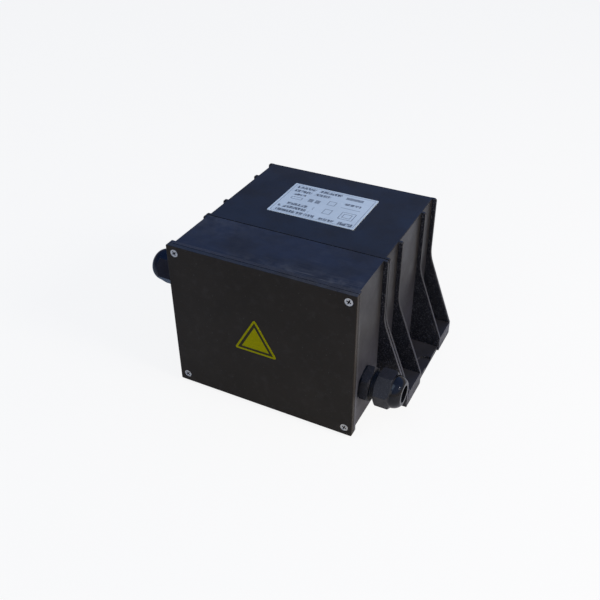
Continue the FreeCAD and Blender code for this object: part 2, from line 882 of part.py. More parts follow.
def thermal_cutout():
    """A flat thermal cutout on the front of the primary coil."""
    heights = flange_heights()
    middle = (heights[1] + bobbin_flange + heights[2]) / 2
    z = (middle - cutout_width / 2, middle + cutout_width / 2)
    y = (coil_front_y - cutout_thickness, coil_front_y)
    body = block((-cutout_length / 2, cutout_length / 2), y, z)
    corners = [e for e in body.Edges if e.BoundBox.YLength > cutout_thickness / 2]
    return body.makeFillet(cutout_corner_radius, corners)


# Terminal blocks and leads
def pole_offsets(place):
    """Distances of the poles from the middle of their block."""
    count = place["poles"]
    return [(i - (count - 1) / 2) * place["pitch"] for i in range(count)]


def clamp_block(place, x, extra):
    """The box of one clamp, widened by a clearance."""
    half = place["clamp_width"] / 2 + extra
    reach = place["clamp_height"] / 2 + extra
    y = (place["entry_y"] - half, place["entry_y"] + half)
    return block((x - half, x + half), y, (place["z"] - reach, place["z"] + reach))


def terminal_body(place):
    """A moulded strip with wire entries, clamp chambers, screw wells and two cheeks."""
    back = box_inner_back_y
    front = back - place["depth"]
    half_x = place["poles"] * place["pitch"] / 2
    half_z = place["height"] / 2
    cheek_x = half_x + block_cheek
    cheek_z = block_cheek_height / 2
    low = place["z"] - half_z
    x = (place["x"] - half_x, place["x"] + half_x)
    body = block(x, (front, back), (low, low + place["height"]))
    x = (place["x"] - cheek_x, place["x"] + cheek_x)
    z = (place["z"] - cheek_z, place["z"] + cheek_z)
    body = body.fuse(block(x, (back - block_screw_grip, back), z))
    cutters = []
    for offset in pole_offsets(place):
        x = place["x"] + offset
        start = (x, place["entry_y"], low - through)
        cutters.append(rod(place["entry"], start, (0, 0, 1), place["height"] + 2 * through))
        cutters.append(clamp_block(place, x, thread_clearance))
        start = (x, front - through, place["z"])
        cutters.append(rod(place["well"], start, (0, 1, 0), place["entry_y"] - front + through))
    for x, z in block_screw_places(place):
        radius = block_screw_radius + fit_clearance
        cutters.append(rod(radius, (x, front, z), (0, 1, 0), place["depth"] + through))
    return body.cut(cutters)


def terminal_clamps(place):
    """Brass clamps, each bored for the wire and tapped for its screw."""
    clamps = []
    for offset in pole_offsets(place):
        x = place["x"] + offset
        y = place["entry_y"]
        low = place["z"] - place["height"]
        bore = rod(place["entry"], (x, y, low), (0, 0, 1), place["height"] * 2)
        start = (x, y - place["depth"], place["z"])
        tap = rod(place["screw"] + thread_clearance, start, (0, 1, 0), place["depth"])
        clamps.append(clamp_block(place, x, 0).cut([bore, tap]))
    return Part.makeCompound(clamps)


def terminal_screws(place):
    """Slotted clamp screws standing in the wells."""
    start = box_inner_back_y - place["depth"] + clamp_screw_recess
    end = place["entry_y"] - place["entry"] + clamp_screw_end_gap
    radius = place["screw"]
    screw = rod(radius, (0, start, 0), (0, 1, 0), end - start)
    half = clamp_screw_slot_width / 2
    slot_x = (-radius - through, radius + through)
    slot_y = (start - through, start + clamp_screw_slot_depth)
    screw = screw.cut(block(slot_x, slot_y, (-half, half)))
    places = [(place["x"] + offset, place["z"]) for offset in pole_offsets(place)]
    return spread(screw, places, 0)


def terminal_block_screws():
    """The four small screws that hold both terminal blocks on the partition."""
    length = block_screw_grip + block_screw_hole_depth - block_screw_end_gap
    radius = block_screw_head_radius
    screw = pan_screw(block_screw_radius, length, radius, block_screw_head_height)
    places = []
    for place in terminal_block_places().values():
        places.extend(block_screw_places(place))
    return spread(screw, places, box_inner_back_y - block_screw_grip)


def leads(place):
    """Two stiff leads from a coil through the window, bent into the block's end poles."""
    side = place["window_side"]
    face_z = place["z"] + side * place["height"] / 2
    level = face_z + side * (lead_bend_radius + lead_straight)
    y = place["entry_y"]
    diagonal = lead_bend_radius / math.sqrt(2)
    offsets = pole_offsets(place)
    wires = []
    for offset in (offsets[0], offsets[-1]):
        x = place["x"] + offset
        inside = V(x, coil_front_y, level)
        bend_start = V(x, y + lead_bend_radius, level)
        bend_end = V(x, y, level - side * lead_bend_radius)
        centre = V(x, y + lead_bend_radius, level - side * lead_bend_radius)
        middle = centre.add(V(0, -diagonal, side * diagonal))
        tip = V(x, y, face_z - side * lead_bite)
        path = Part.Wire([
            Part.makeLine(inside, bend_start),
            Part.Arc(bend_start, middle, bend_end).toShape(),
            Part.makeLine(bend_end, tip),
        ])
        section = Part.Wire(Part.makeCircle(place["lead"], inside, V(0, -1, 0)))
        wires.append(path.makePipeShell([section], True, False))
    return Part.makeCompound(wires)


def potting_resin(enclosed):
    """The resin that fills the case round the transformer, its front just inside the seam."""
    x = (-case_inner_x, case_inner_x)
    y = (resin_front_y, case_back_y - case_wall)
    resin = block(x, y, (case_wall, case_top_z - case_wall))
    for boss_x, boss_z in boss_places():
        resin = resin.cut(case_boss(boss_x, boss_z))
    for shape in enclosed:
        resin = resin.cut(shape)
    return max(resin.Solids, key=lambda solid: solid.Volume)


def main():
    """Builds every piece and writes it to its own file."""
    os.makedirs("parts", exist_ok=True)
    save(main_case(), "main_case")
    save(terminal_box(), "terminal_box")
    save(seam_gasket(), "seam_gasket")
    save(front_cover(), "front_cover")
    gasket_y = (cover_back_y, rim_front_y + gasket_groove_depth)
    save(cover_gasket_ring(gasket_y), "cover_gasket")
    save(cover_screws(), "cover_screws")
    save(box_screws(), "box_screws")
    save(top_plate(), "top_plate")
    save(cover_decal(), "cover_decal")
    gland = {
        "gland_body": gland_body(),
        "gland_seal": gland_seal(),
        "gland_nut": gland_nut(),
        "gland_washer": gland_washer(),
        "gland_locknut": gland_locknut(),
    }
    for side_name, (side, height) in gland_places().items():
        for name, shape in gland.items():
            save(placed_gland(shape, side, height), side_name + "_" + name)
    core = laminated_core()
    bolts = core_bolts()
    former = bobbin()
    secondary = winding(0, 0, coil_build)
    primary = winding(1, 0, coil_build)
    tape = winding_tape()
    cutout = thermal_cutout()
    save(core, "laminated_core")
    save(bolts, "core_bolts")
    save(former, "bobbin")
    save(primary, "primary_winding")
    save(secondary, "secondary_winding")
    save(tape, "winding_tape")
    save(cutout, "thermal_cutout")
    enclosed = [core, bolts, former, primary, secondary, tape, cutout]
    for name, place in terminal_block_places().items():
        save(terminal_body(place), name + "_terminal_block")
        save(terminal_clamps(place), name + "_terminal_clamps")
        save(terminal_screws(place), name + "_terminal_screws")
        wires = leads(place)
        save(wires, name + "_leads")
        enclosed.append(wires)
    save(terminal_block_screws(), "terminal_block_screws")
    save(potting_resin(enclosed), "potting_resin")


main()
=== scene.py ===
import logging
import math
from dataclasses import dataclass, replace
from enum import Enum
from typing import Union

import bpy
from mathutils import Euler, Matrix, Vector


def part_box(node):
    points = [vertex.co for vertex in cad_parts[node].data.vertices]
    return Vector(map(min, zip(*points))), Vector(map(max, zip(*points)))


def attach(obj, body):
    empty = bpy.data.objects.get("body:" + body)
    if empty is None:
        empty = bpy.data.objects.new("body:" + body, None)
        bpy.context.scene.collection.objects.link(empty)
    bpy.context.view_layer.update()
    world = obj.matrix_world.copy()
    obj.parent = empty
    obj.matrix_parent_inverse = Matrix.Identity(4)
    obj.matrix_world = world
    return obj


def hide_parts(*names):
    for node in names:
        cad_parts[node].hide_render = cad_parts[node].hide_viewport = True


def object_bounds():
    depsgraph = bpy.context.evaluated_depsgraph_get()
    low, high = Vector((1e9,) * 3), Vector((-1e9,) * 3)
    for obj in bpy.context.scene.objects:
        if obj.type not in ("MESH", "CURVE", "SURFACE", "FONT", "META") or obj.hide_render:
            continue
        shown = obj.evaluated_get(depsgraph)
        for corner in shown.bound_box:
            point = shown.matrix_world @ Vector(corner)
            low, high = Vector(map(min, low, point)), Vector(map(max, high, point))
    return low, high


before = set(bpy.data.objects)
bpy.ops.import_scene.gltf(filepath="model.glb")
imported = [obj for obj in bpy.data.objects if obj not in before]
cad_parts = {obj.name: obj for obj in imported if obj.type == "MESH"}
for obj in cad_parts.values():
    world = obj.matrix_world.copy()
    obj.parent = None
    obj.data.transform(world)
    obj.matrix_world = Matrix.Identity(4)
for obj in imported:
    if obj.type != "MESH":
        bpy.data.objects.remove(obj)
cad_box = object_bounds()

LOG = logging.getLogger("transformer")
Node = bpy.types.Node
Socket = bpy.types.NodeSocket
Material = bpy.types.Material
Colour = tuple[float, float, float]
Point = tuple[float, float, float]
Range = tuple[float, float]
Spot = tuple[float, float, float, float]
Place = tuple[Socket, Socket]
Feed = Union[Socket, Material, float, int, bool, Colour]
ROOT = "root"
MM = 0.001
RIM_DEPTH = 3.6 * MM
DOME_LENGTH = 8.6 * MM
# How far behind a screw head's face its recess starts to take painted shade.
SHADE_START_DEPTH = 0.15 * MM
FACING_FADE = (0.7, 0.9)


class Slot(Enum):
    """The record's material slots, passed along with the pieces built here."""

    GLAND = "gland_plastic"
    ZINC = "zinc_screw"
    DECAL = "decal_yellow"


class Side(Enum):
    """The side of the terminal box that a gland sits on, with the sign of its X."""

    RIGHT = 1
    LEFT = -1


@dataclass(frozen=True)
class Clouds:
    """Noise on the object's own coordinates, and the range of its values that counts.

    The scale is in waves for each metre, detail in octaves. Roughness is the share of the finer
    octaves, and stretch the factor of the coordinates on each axis.
    """

    scale: float
    detail: float = 2.0
    roughness: float = 0.5
    span: Range = (0.3, 0.7)
    stretch: Point = (1.0, 1.0, 1.0)


def scaled(colour: Colour, factor: float, lift: float = 0.0) -> Colour:
    """A colour made lighter or darker by a factor and then lifted, at most 1."""
    return tuple(min(1.0, part * factor + lift) for part in colour)


def feed(node: Node, name: Union[str, int], value: Feed) -> None:
    """Links a socket to a node's input, given by name or index, or sets a plain value there."""
    socket = node.inputs[name]
    if isinstance(value, Socket):
        node.id_data.links.new(value, socket)
    elif isinstance(value, tuple) and socket.type == "RGBA":
        socket.default_value = (*value, 1.0)
    else:
        socket.default_value = value


class Graph:
    """Adds and links the nodes of one tree."""

    def __init__(self, tree: bpy.types.NodeTree) -> None:
        """Takes the tree that the nodes go into."""
        self.tree = tree

    def add(self, kind: str, settings: Union[dict[str, object], None] = None, *values: Feed,
            **inputs: Feed) -> Node:
        """Adds a node.

        Args:
            kind: The node's type.
            settings: Its properties.
            values: What its first inputs take, in their order.
            inputs: What other inputs take, by name, with underscores for the spaces in it.

        Returns:
            The new node.
        """
        node = self.tree.nodes.new(kind)
        for name, value in (settings or {}).items():
            setattr(node, name, value)
        for index, value in enumerate(values):
            feed(node, index, value)
        for name, value in inputs.items():
            feed(node, name.replace("_", " "), value)
        return node

    def math(self, operation: str, first: Feed, second: Feed = 0.0, clamp: bool = False) -> Socket:
        """Works out an operation on two values, kept between 0 and 1 if clamp is set."""
        settings = {"operation": operation, "use_clamp": clamp}
        return self.add("ShaderNodeMath", settings, first, second).outputs[0]

    def product(self, first: Feed, *others: Feed) -> Feed:
        """Multiplies two or more values in turn."""
        result = first
        for other in others:
            result = self.math("MULTIPLY", result, other)
        return result

    def spread(self, value: Feed, low: float, high: float, to_low: float = 0.0,
               to_high: float = 1.0) -> Socket:
        """Maps the values from low to high to those from to_low to to_high, clamped."""
        return self.add("ShaderNodeMapRange", {"clamp": True}, value, low, high, to_low, to_high).outputs[0]

    def blend(self, share: Feed, first: Feed, second: Feed) -> Socket:
        """Mixes two colours, with the second one's share."""
        node = self.add("ShaderNodeMix", {"data_type": "RGBA"}, share)
        feed(node, 6, first)
        feed(node, 7, second)
        return node.outputs[2]


class ShaderGraph(Graph):
    """Adds and links the nodes of one material, on the object's own coordinates."""

    def __init__(self, name: str) -> None:
        """Starts an empty material of that name."""
        self.material = bpy.data.materials.new(name)
        self.material.use_nodes = True
        super().__init__(self.material.node_tree)
        self.tree.nodes.clear()
        self.output = self.add("ShaderNodeOutputMaterial")
        self.position = self.add("ShaderNodeTexCoord").outputs["Object"]

    def noise(self, clouds: Clouds, place: Union[Socket, None] = None) -> Socket:
        """Adds noise, with values around 0.5, on the object's coordinates or on another place."""
        mapping = self.add("ShaderNodeMapping", Scale=clouds.stretch,
                           Vector=self.position if place is None else place)
        node = self.add("ShaderNodeTexNoise", Vector=mapping.outputs[0], Scale=clouds.scale,
                        Detail=clouds.detail, Roughness=clouds.roughness)
        return node.outputs["Fac"]

    def clouds(self, clouds: Clouds, to_low: float = 0.0, to_high: float = 1.0,
               place: Union[Socket, None] = None) -> Socket:
        """Adds noise and maps its range that counts to the one from to_low to to_high."""
        return self.spread(self.noise(clouds, place), *clouds.span, to_low, to_high)

    def bump(self, height: Feed, depth: float, strength: float, under: Union[Socket, None] = None) -> Socket:
        """Adds a bump on the one under it, from a height from 0 to 1, and returns its normal."""
        node = self.add("ShaderNodeBump", Height=height, Distance=depth, Strength=strength)
        if under is not None:
            feed(node, "Normal", under)
        return node.outputs[0]

    def axes(self) -> tuple[Socket, Socket, Socket]:
        """Splits the object coordinates into their three axes."""
        return tuple(self.add("ShaderNodeSeparateXYZ", Vector=self.position).outputs)

    def facing(self, axis: int, sign: float) -> Socket:
        """1 on faces that look to an axis's positive or negative side, 0 on the others."""
        normal = self.add("ShaderNodeTexCoord").outputs["Normal"]
        split = self.add("ShaderNodeSeparateXYZ", Vector=normal)
        return self.spread(self.product(split.outputs[axis], sign), *FACING_FADE)

    def surface(self, base: Feed, roughness: Feed, normal: Socket, **constants: Feed) -> Material:
        """Ends the graph in one Principled shader, fed with further inputs by name."""
        shader = self.add("ShaderNodeBsdfPrincipled", Base_Color=base, Roughness=roughness,
                          Normal=normal, **constants)
        feed(self.output, "Surface", shader.outputs[0])
        return self.material


class GeometryGraph(Graph):
    """Builds one Geometry Nodes tree with named inputs and bakes it to a plain mesh."""

    def __init__(self, name: str, inputs: dict[str, float]) -> None:
        """Starts a tree.

        Args:
            name: The tree's name.
            inputs: Each input's name and value; a whole number makes an integer input.
        """
        super().__init__(bpy.data.node_groups.new(name, "GeometryNodeTree"))
        self.tree.interface.new_socket("Geometry", in_out="OUTPUT", socket_type="NodeSocketGeometry")
        self.values: dict[str, float] = {}
        for label, value in inputs.items():
            kind = "NodeSocketInt" if isinstance(value, int) else "NodeSocketFloat"
            socket = self.tree.interface.new_socket(label, in_out="INPUT", socket_type=kind)
            self.values[socket.identifier] = value
        self.inputs = self.add("NodeGroupInput").outputs
        self.end = self.add("NodeGroupOutput")

    def vector(self, x: Feed = 0.0, y: Feed = 0.0, z: Feed = 0.0) -> Socket:
        """Joins three numbers to a vector."""
        return self.add("ShaderNodeCombineXYZ", X=x, Y=y, Z=z).outputs[0]

    def moved(self, geometry: Socket, offset: Feed, turn: Feed = (0.0, 0.0, 0.0)) -> Socket:
        """Moves and turns a geometry."""
        node = self.add("GeometryNodeTransform", Geometry=geometry, Translation=offset, Rotation=turn)
        return node.outputs[0]

    def joined(self, *parts: Socket) -> Socket:
        """Joins several geometries."""
        node = self.add("GeometryNodeJoinGeometry")
        for part in reversed(parts):
            feed(node, 0, part)
        return node.outputs[0]

    def cut(self, body: Socket, *tools: Socket) -> Socket:
        """Takes closed meshes out of another."""
        settings = {"operation": "DIFFERENCE", "solver": "EXACT"}
        node = self.add("GeometryNodeMeshBoolean", settings, body)
        for tool in tools:
            feed(node, 1, tool)
        return node.outputs[0]

    def ridge(self, radius: Feed, height: Feed, pitch: Feed, width: float, depth: Feed, steps: int) -> Socket:
        """Sweeps a thread's ridge, its width a share of the pitch, up a helix from zero height."""
        helix = self.add("GeometryNodeCurveSpiral", Resolution=steps, Start_Radius=radius, End_Radius=radius,
                         Height=height, Rotations=self.math("DIVIDE", height, pitch))
        section = self.add("GeometryNodeCurvePrimitiveQuadrilateral", {"mode": "KITE"},
                           Width=self.product(pitch, width), Bottom_Height=depth, Top_Height=depth)
        swept = self.add("GeometryNodeCurveToMesh", Curve=helix.outputs[0],
                         Profile_Curve=section.outputs[0], Fill_Caps=True)
        return swept.outputs[0]

    def finish(self, geometry: Socket, material: Material) -> None:
        """Ends the tree in Realize Instances and Set Material."""
        real = self.add("GeometryNodeRealizeInstances", Geometry=geometry)
        dressed = self.add("GeometryNodeSetMaterial", Geometry=real.outputs[0], Material=material)
        feed(self.end, 0, dressed.outputs[0])

    def bake(self, name: str, place: Matrix) -> bpy.types.Object:
        """Evaluates the tree on a new object and keeps the result as a plain mesh.

        Args:
            name: The new piece's name.
            place: Where the piece goes, applied to its mesh.

        Returns:
            The piece, at the origin, with no modifier.
        """
        piece = bpy.data.objects.new(name, bpy.data.meshes.new(name))
        bpy.context.scene.collection.objects.link(piece)
        modifier = piece.modifiers.new(name, "NODES")
        modifier.node_group = self.tree
        for identifier, value in self.values.items():
            modifier[identifier] = value
        evaluated = piece.evaluated_get(bpy.context.evaluated_depsgraph_get())
        mesh = bpy.data.meshes.new_from_object(evaluated)
        piece.modifiers.clear()
        piece.data = mesh
        mesh.name = name
        mesh.transform(place)
        mesh.update()
        return piece


@dataclass(frozen=True)
class Finish:
    """What all finishes have. A bump holds its depth in metres and the share of it that shows."""

    name: str
    base: Colour


@dataclass(frozen=True)
class MouldedPlastic(Finish):
    """Spark-eroded thermoplastic: a fine grain, slow clouds in the gloss, and dust.

    Faces that look up carry a painted bluish sky reflection in patches, painted lighter low on the feet,
    with scuffs near the front edge. Side walls carry a painted bluish reflection at the bottom, and faces
    that look to the front are painted darker as shade, with pale specks as painted glints of grazing light.
    Lengths are in metres, and each pair of them holds the two ends of a fade.
    """

    warm: Colour
    roughness: float = 0.42
    gloss_change: float = 0.10
    specular: float = 0.35
    tones: Clouds = Clouds(22.0, 3.0, span=(0.35, 0.65))
    gloss: Clouds = Clouds(35.0, 4.0, 0.6)
    grain: Clouds = Clouds(1700.0, 2.0, 0.6)
    grain_bump: Range = (0.03 * MM, 0.6)
    swell_bump: Range = (0.05 * MM, 0.25)
    dust: Colour = (0.16, 0.155, 0.15)
    mottle: Clouds = Clouds(140.0, 3.0, 0.6, (0.52, 0.8))
    mottle_share: float = 0.05
    specks: Clouds = Clouds(900.0, 1.0, 0.4, (0.74, 0.80))
    speck_share: float = 0.275
    # Painted bluish sky reflection on faces that look up, laid in patches.
    film: Colour = (0.015, 0.0195, 0.030)
    sky_sheen_patches: Clouds = Clouds(26.0, 4.0, 0.6, (0.40, 0.60))
    sky_sheen_shares: Range = (0.40, 0.9)
    # Painted light: a lighter grey in place of the sky reflection on faces that look up below the feet's
    # height.
    foot_painted_light: Colour = (0.030, 0.028, 0.030)
    foot_height: Range = (18.0 * MM, 20.0 * MM)
    # Painted bluish reflection on the lower side walls, fading out over the height below.
    dust_and_low_sheen: Colour = (0.027, 0.027, 0.034)
    low_sheen_height: Range = (35.0 * MM, 90.0 * MM)
    low_sheen_share: float = 1.0
    low_sheen_clouds: Clouds = Clouds(60.0, 4.0, 0.7)
    low_sheen_least: float = 0.6
    # Painted glints: pale specks that stand in for grazing light on the grain of faces that look to the
    # front.
    front_glints: float = 0.0
    front_glint_colour: Colour = (0.17, 0.165, 0.17)
    # Painted shade: a darker, bluer tone on faces that look to the front.
    front_shade: Colour = (0.0085, 0.0090, 0.0120)
    front_shade_share: float = 0.8
    front_glint_specks: Clouds = Clouds(1500.0, 1.0, 0.5, (0.585, 0.66))
    scuffs: float = 0.0
    scuff_start: float = 0.0
    scuff_fade: float = 0.2 * MM
    scuff_length: float = 14.0 * MM
    scuff_rest: float = 0.12
    scuff_across: Range = (-40.0 * MM, 60.0 * MM)
    scuff_left: float = 0.3
    scuff_streaks: Clouds = Clouds(800.0, 3.0, 0.65, (0.50, 0.72), (0.06, 1.0, 1.0))
    scuff_clouds: Clouds = Clouds(90.0, 4.0, 0.7, (0.45, 0.75))
    corner_dust: float = 0.22
    corner_clouds: Clouds = Clouds(110.0, 5.0, 0.75, (0.38, 0.68))
    corner_across: Range = (-70.0 * MM, 0.0)
    corner_along: Range = (-70.0 * MM, -30.0 * MM)
    line_start: float = 0.0
    line_pitch: float = 1.1 * MM
    line_count: int = 0
    line_wave: Range = (0.2, 0.9)
    line_height: float = 0.15 * MM
    line_strength: float = 0.8
    line_dust: float = 0.26

    def _sky_sheen(self, graph: ShaderGraph, base: Socket) -> Socket:
        """Lays a painted bluish sky reflection in patches on faces that look up, painted lighter low on the
        feet.
        """
        patches = graph.clouds(self.sky_sheen_patches, *self.sky_sheen_shares)
        low = graph.spread(graph.axes()[2], *self.foot_height, 1.0, 0.0)
        film = graph.blend(low, self.film, self.foot_painted_light)
        return graph.blend(graph.product(graph.facing(2, 1.0), patches), base, film)

    def _scuffs(self, graph: ShaderGraph, base: Socket) -> Socket:
        """Lays dust in the left corner and scuffs along the front edge, on faces that look up."""
        up = graph.facing(2, 1.0)
        x, y, _ = graph.axes()
        corner = graph.product(graph.spread(x, *self.corner_across, 1.0, 0.0),
                               graph.spread(y, *self.corner_along))
        dust = graph.clouds(self.corner_clouds, 0.0, self.corner_dust)
        base = graph.blend(graph.product(corner, dust, up), base, self.dust)
        near = graph.product(
            graph.spread(y, self.scuff_start, self.scuff_start + self.scuff_length, 1.0,
                         self.scuff_rest),
            graph.spread(y, self.scuff_start - self.scuff_fade, self.scuff_start),
            graph.spread(x, *self.scuff_across, self.scuff_left, 1.0))
        marks = graph.math("MAXIMUM", graph.clouds(self.scuff_streaks), graph.clouds(self.scuff_clouds))
        return graph.blend(graph.product(near, marks, up, self.scuffs), base, self.dust)

    def _low_wall_sheen(self, graph: ShaderGraph, base: Socket) -> Socket:
        """Lays a painted bluish reflection, in clouds, on the lower part of the side walls."""
        sideways = graph.math("MAXIMUM", graph.facing(0, 1.0), graph.facing(0, -1.0))
        low = graph.spread(graph.axes()[2], *self.low_sheen_height, self.low_sheen_share, 0.0)
        clouds = graph.clouds(self.low_sheen_clouds, self.low_sheen_least, 1.0)
        return graph.blend(graph.product(low, clouds, sideways), base, self.dust_and_low_sheen)

    def _front_shade_and_glints(self, graph: ShaderGraph, base: Socket) -> Socket:
        """Paints shade on faces that look to the front, and scatters pale specks there as painted glints."""
        forward = graph.facing(1, -1.0)
        base = graph.blend(graph.product(forward, self.front_shade_share), base, self.front_shade)
        share = graph.product(forward, graph.clouds(self.front_glint_specks), self.front_glints)
        return graph.blend(share, base, self.front_glint_colour)

    def _lines(self, graph: ShaderGraph) -> Socket:
        """Fine raised lines round the rim, one pitch apart along Y."""
        y = graph.axes()[1]
        phase = graph.math("DIVIDE", graph.math("SUBTRACT", y, self.line_start), self.line_pitch)
        wave = graph.math("COSINE", graph.product(phase, 2 * math.pi))
        after = graph.math("GREATER_THAN", phase, -0.5)
        before = graph.math("LESS_THAN", phase, self.line_count - 0.5)
        return graph.product(graph.spread(wave, *self.line_wave), after, before)

    def material(self) -> Material:
        """Builds the finish."""
        graph = ShaderGraph(self.name)
        mottle = graph.noise(self.mottle)
        base = graph.blend(graph.clouds(self.tones), self.base, self.warm)
        # Real dust, laid as a mottle.
        dust_and_low_sheen = graph.product(graph.spread(mottle, *self.mottle.span), self.mottle_share)
        base = graph.blend(dust_and_low_sheen, base, self.dust)
        base = graph.blend(graph.product(graph.clouds(self.specks), self.speck_share), base, self.dust)
        # Painted bluish sky reflection on faces that look up.
        base = self._sky_sheen(graph, base)
        if self.scuffs > 0:
            base = self._scuffs(graph, base)
        # Painted bluish reflection low on the side walls.
        if self.low_sheen_share > 0:
            base = self._low_wall_sheen(graph, base)
        # Painted shade and painted glints on faces that look to the front.
        if self.front_glints > 0:
            base = self._front_shade_and_glints(graph, base)
        low, high = self.roughness - self.gloss_change, self.roughness + self.gloss_change
        swell = graph.bump(mottle, *self.swell_bump)
        normal = graph.bump(graph.noise(self.grain), *self.grain_bump, swell)
        if self.line_count > 0:
            lines = self._lines(graph)
            base = graph.blend(graph.product(lines, self.line_dust), base, self.dust)
            normal = graph.bump(lines, self.line_height, self.line_strength, normal)
        return graph.surface(base, graph.clouds(self.gloss, low, high), normal,
                             Specular_IOR_Level=self.specular)


@dataclass(frozen=True)
class GlossyPlastic(Finish):
    """Smooth polyamide with faint flow marks.

    Closer to the middle of the part than gloss_from, in metres along X, it is satin with fine grit.
    """

    roughness: float = 0.22
    specular: float = 0.5
    flow: Clouds = Clouds(90.0, 3.0, 0.55)
    flow_bump: Range = (0.12 * MM, 0.2)
    tone_range: Range = (0.35, 0.7)
    gloss_change: Range = (-0.05, 0.07)
    fine: Clouds = Clouds(1500.0)
    fine_bump: Range = (0.01 * MM, 0.35)
    gloss_from: float = 0.0
    gloss_edge: float = 0.3 * MM
    satin: Colour = (0.0135, 0.0130, 0.0140)
    satin_roughness: float = 0.50
    satin_specks: Clouds = Clouds(1300.0, 1.0, span=(0.50, 0.72))

    def material(self) -> Material:
        """Builds the finish."""
        graph = ShaderGraph(self.name)
        flow = graph.noise(self.flow)
        base = graph.blend(graph.spread(flow, *self.tone_range), self.base, scaled(self.base, 1.35, 0.002))
        low, high = (self.roughness + change for change in self.gloss_change)
        roughness = graph.spread(flow, *self.flow.span, low, high)
        swell = graph.bump(flow, *self.flow_bump)
        normal = graph.bump(graph.noise(self.fine), *self.fine_bump, swell)
        if self.gloss_from > 0:
            away = graph.math("ABSOLUTE", graph.axes()[0])
            flat = graph.spread(away, self.gloss_from - self.gloss_edge, self.gloss_from, 1.0, 0.0)
            speckled = graph.blend(graph.clouds(self.satin_specks), self.satin, scaled(self.satin, 2.6))
            base = graph.blend(flat, base, speckled)
            rougher = graph.product(flat, self.satin_roughness - self.roughness)
            roughness = graph.math("ADD", roughness, rougher)
        return graph.surface(base, roughness, normal, Specular_IOR_Level=self.specular)


@dataclass(frozen=True)
class Rubber(Finish):
    """Matt sealing rubber with a dusty bloom."""

    dust: Colour = (0.08, 0.08, 0.08)
    dust_share: float = 0.3
    dust_range: Range = (0.5, 0.8)
    bloom: Clouds = Clouds(260.0, 3.0, 0.6)
    roughness: Range = (0.62, 0.82)
    grain: Clouds = Clouds(1400.0)
    grain_bump: Range = (0.03 * MM, 0.5)
    specular: float = 0.3

    def material(self) -> Material:
        """Builds the finish."""
        graph = ShaderGraph(self.name)
        bloom = graph.noise(self.bloom)
        base = graph.blend(graph.spread(bloom, *self.dust_range, 0.0, self.dust_share), self.base, self.dust)
        roughness = graph.spread(bloom, *self.bloom.span, *self.roughness)
        normal = graph.bump(graph.noise(self.grain), *self.grain_bump)
        return graph.surface(base, roughness, normal, Specular_IOR_Level=self.specular)


@dataclass(frozen=True)
class PlatedMetal(Finish):
    """Turned or pressed metal with plating clouds and fine tool marks.

    Where a start along Y is given, it is painted dark and rougher behind that place: painted shade in a
    screw's recess.
    """

    roughness: float = 0.26
    plating: Clouds = Clouds(400.0, 3.0, 0.6, (0.35, 0.75))
    marks: Clouds = Clouds(900.0)
    mark_bump: Range = (0.02 * MM, 0.4)
    # Painted shade in a recess: dark from this place along Y; 0 for none.
    gloss_change: Range = (-0.07, 0.12)
    shade_from: float = 0.0
    shade_edge: float = 0.2 * MM
    recess_shade: Colour = (0.010, 0.010, 0.012)
    recess_roughness: float = 0.4

    def material(self) -> Material:
        """Builds the finish."""
        graph = ShaderGraph(self.name)
        marks = graph.noise(self.marks)
        base = graph.blend(graph.clouds(self.plating), self.base, scaled(self.base, 0.72))
        low, high = (self.roughness + change for change in self.gloss_change)
        roughness = graph.spread(marks, *self.marks.span, low, high)
        normal = graph.bump(marks, *self.mark_bump)
        # Painted shade deeper than the start along Y.
        if self.shade_from != 0:
            share = graph.spread(graph.axes()[1], self.shade_from, self.shade_from + self.shade_edge)
            base = graph.blend(share, base, self.recess_shade)
            roughness = graph.math("ADD", roughness, graph.product(share, self.recess_roughness), clamp=True)
        return graph.surface(base, roughness, normal, Metallic=1.0)


@dataclass(frozen=True)
class WoundCoil(Finish):
    """Enamelled wire in level turns: rounded ridges one wire apart, up the coil."""

    wire: float
    gloss: Clouds = Clouds(300.0)
    roughness: Range = (0.22, 0.34)

    def material(self) -> Material:
        """Builds the finish."""
        graph = ShaderGraph(self.name)
        phase = graph.product(graph.axes()[2], math.pi / self.wire)
        ridge = graph.math("ABSOLUTE", graph.math("SINE", phase))
        # The colour falls to a quarter between turns: painted shade in the grooves between wires.
        base = graph.blend(graph.spread(ridge, 0.0, 0.5), scaled(self.base, 0.25), self.base)
        normal = graph.bump(ridge, self.wire / 3, 0.8)
        return graph.surface(base, graph.clouds(self.gloss, *self.roughness), normal, Metallic=0.7)


@dataclass(frozen=True)
class Laminations(Finish):
    """Stamped sheets seen on edge: thin varnished lines across the stack."""

    sheet: float
    gap: Colour = (0.05, 0.045, 0.04)
    rust: Colour = (0.22, 0.12, 0.06)
    rust_clouds: Clouds = Clouds(120.0, 4.0, 0.6, (0.6, 0.8))
    rust_share: float = 0.35
    roughness: float = 0.45

    def material(self) -> Material:
        """Builds the finish."""
        graph = ShaderGraph(self.name)
        phase = graph.product(graph.axes()[1], 2 * math.pi / self.sheet)
        line = graph.spread(graph.math("SINE", phase), -1.0, 1.0)
        base = graph.blend(graph.spread(line, 0.0, 0.4), self.gap, self.base)
        base = graph.blend(graph.clouds(self.rust_clouds, 0.0, self.rust_share), base, self.rust)
        return graph.surface(base, self.roughness, graph.bump(line, self.sheet / 4, 0.6), Metallic=0.8)


@dataclass(frozen=True)
class CastResin(Finish):
    """Filled resin, a little wavy at its free face."""

    wave: Clouds = Clouds(60.0, 4.0)
    wave_bump: Range = (0.4 * MM, 0.5)
    roughness: Range = (0.2, 0.5)

    def material(self) -> Material:
        """Builds the finish."""
        graph = ShaderGraph(self.name)
        wave = graph.noise(self.wave)
        share = graph.spread(wave, *self.wave.span)
        base = graph.blend(share, self.base, scaled(self.base, 1.6))
        roughness = graph.spread(wave, *self.wave.span, *self.roughness)
        return graph.surface(base, roughness, graph.bump(wave, *self.wave_bump))


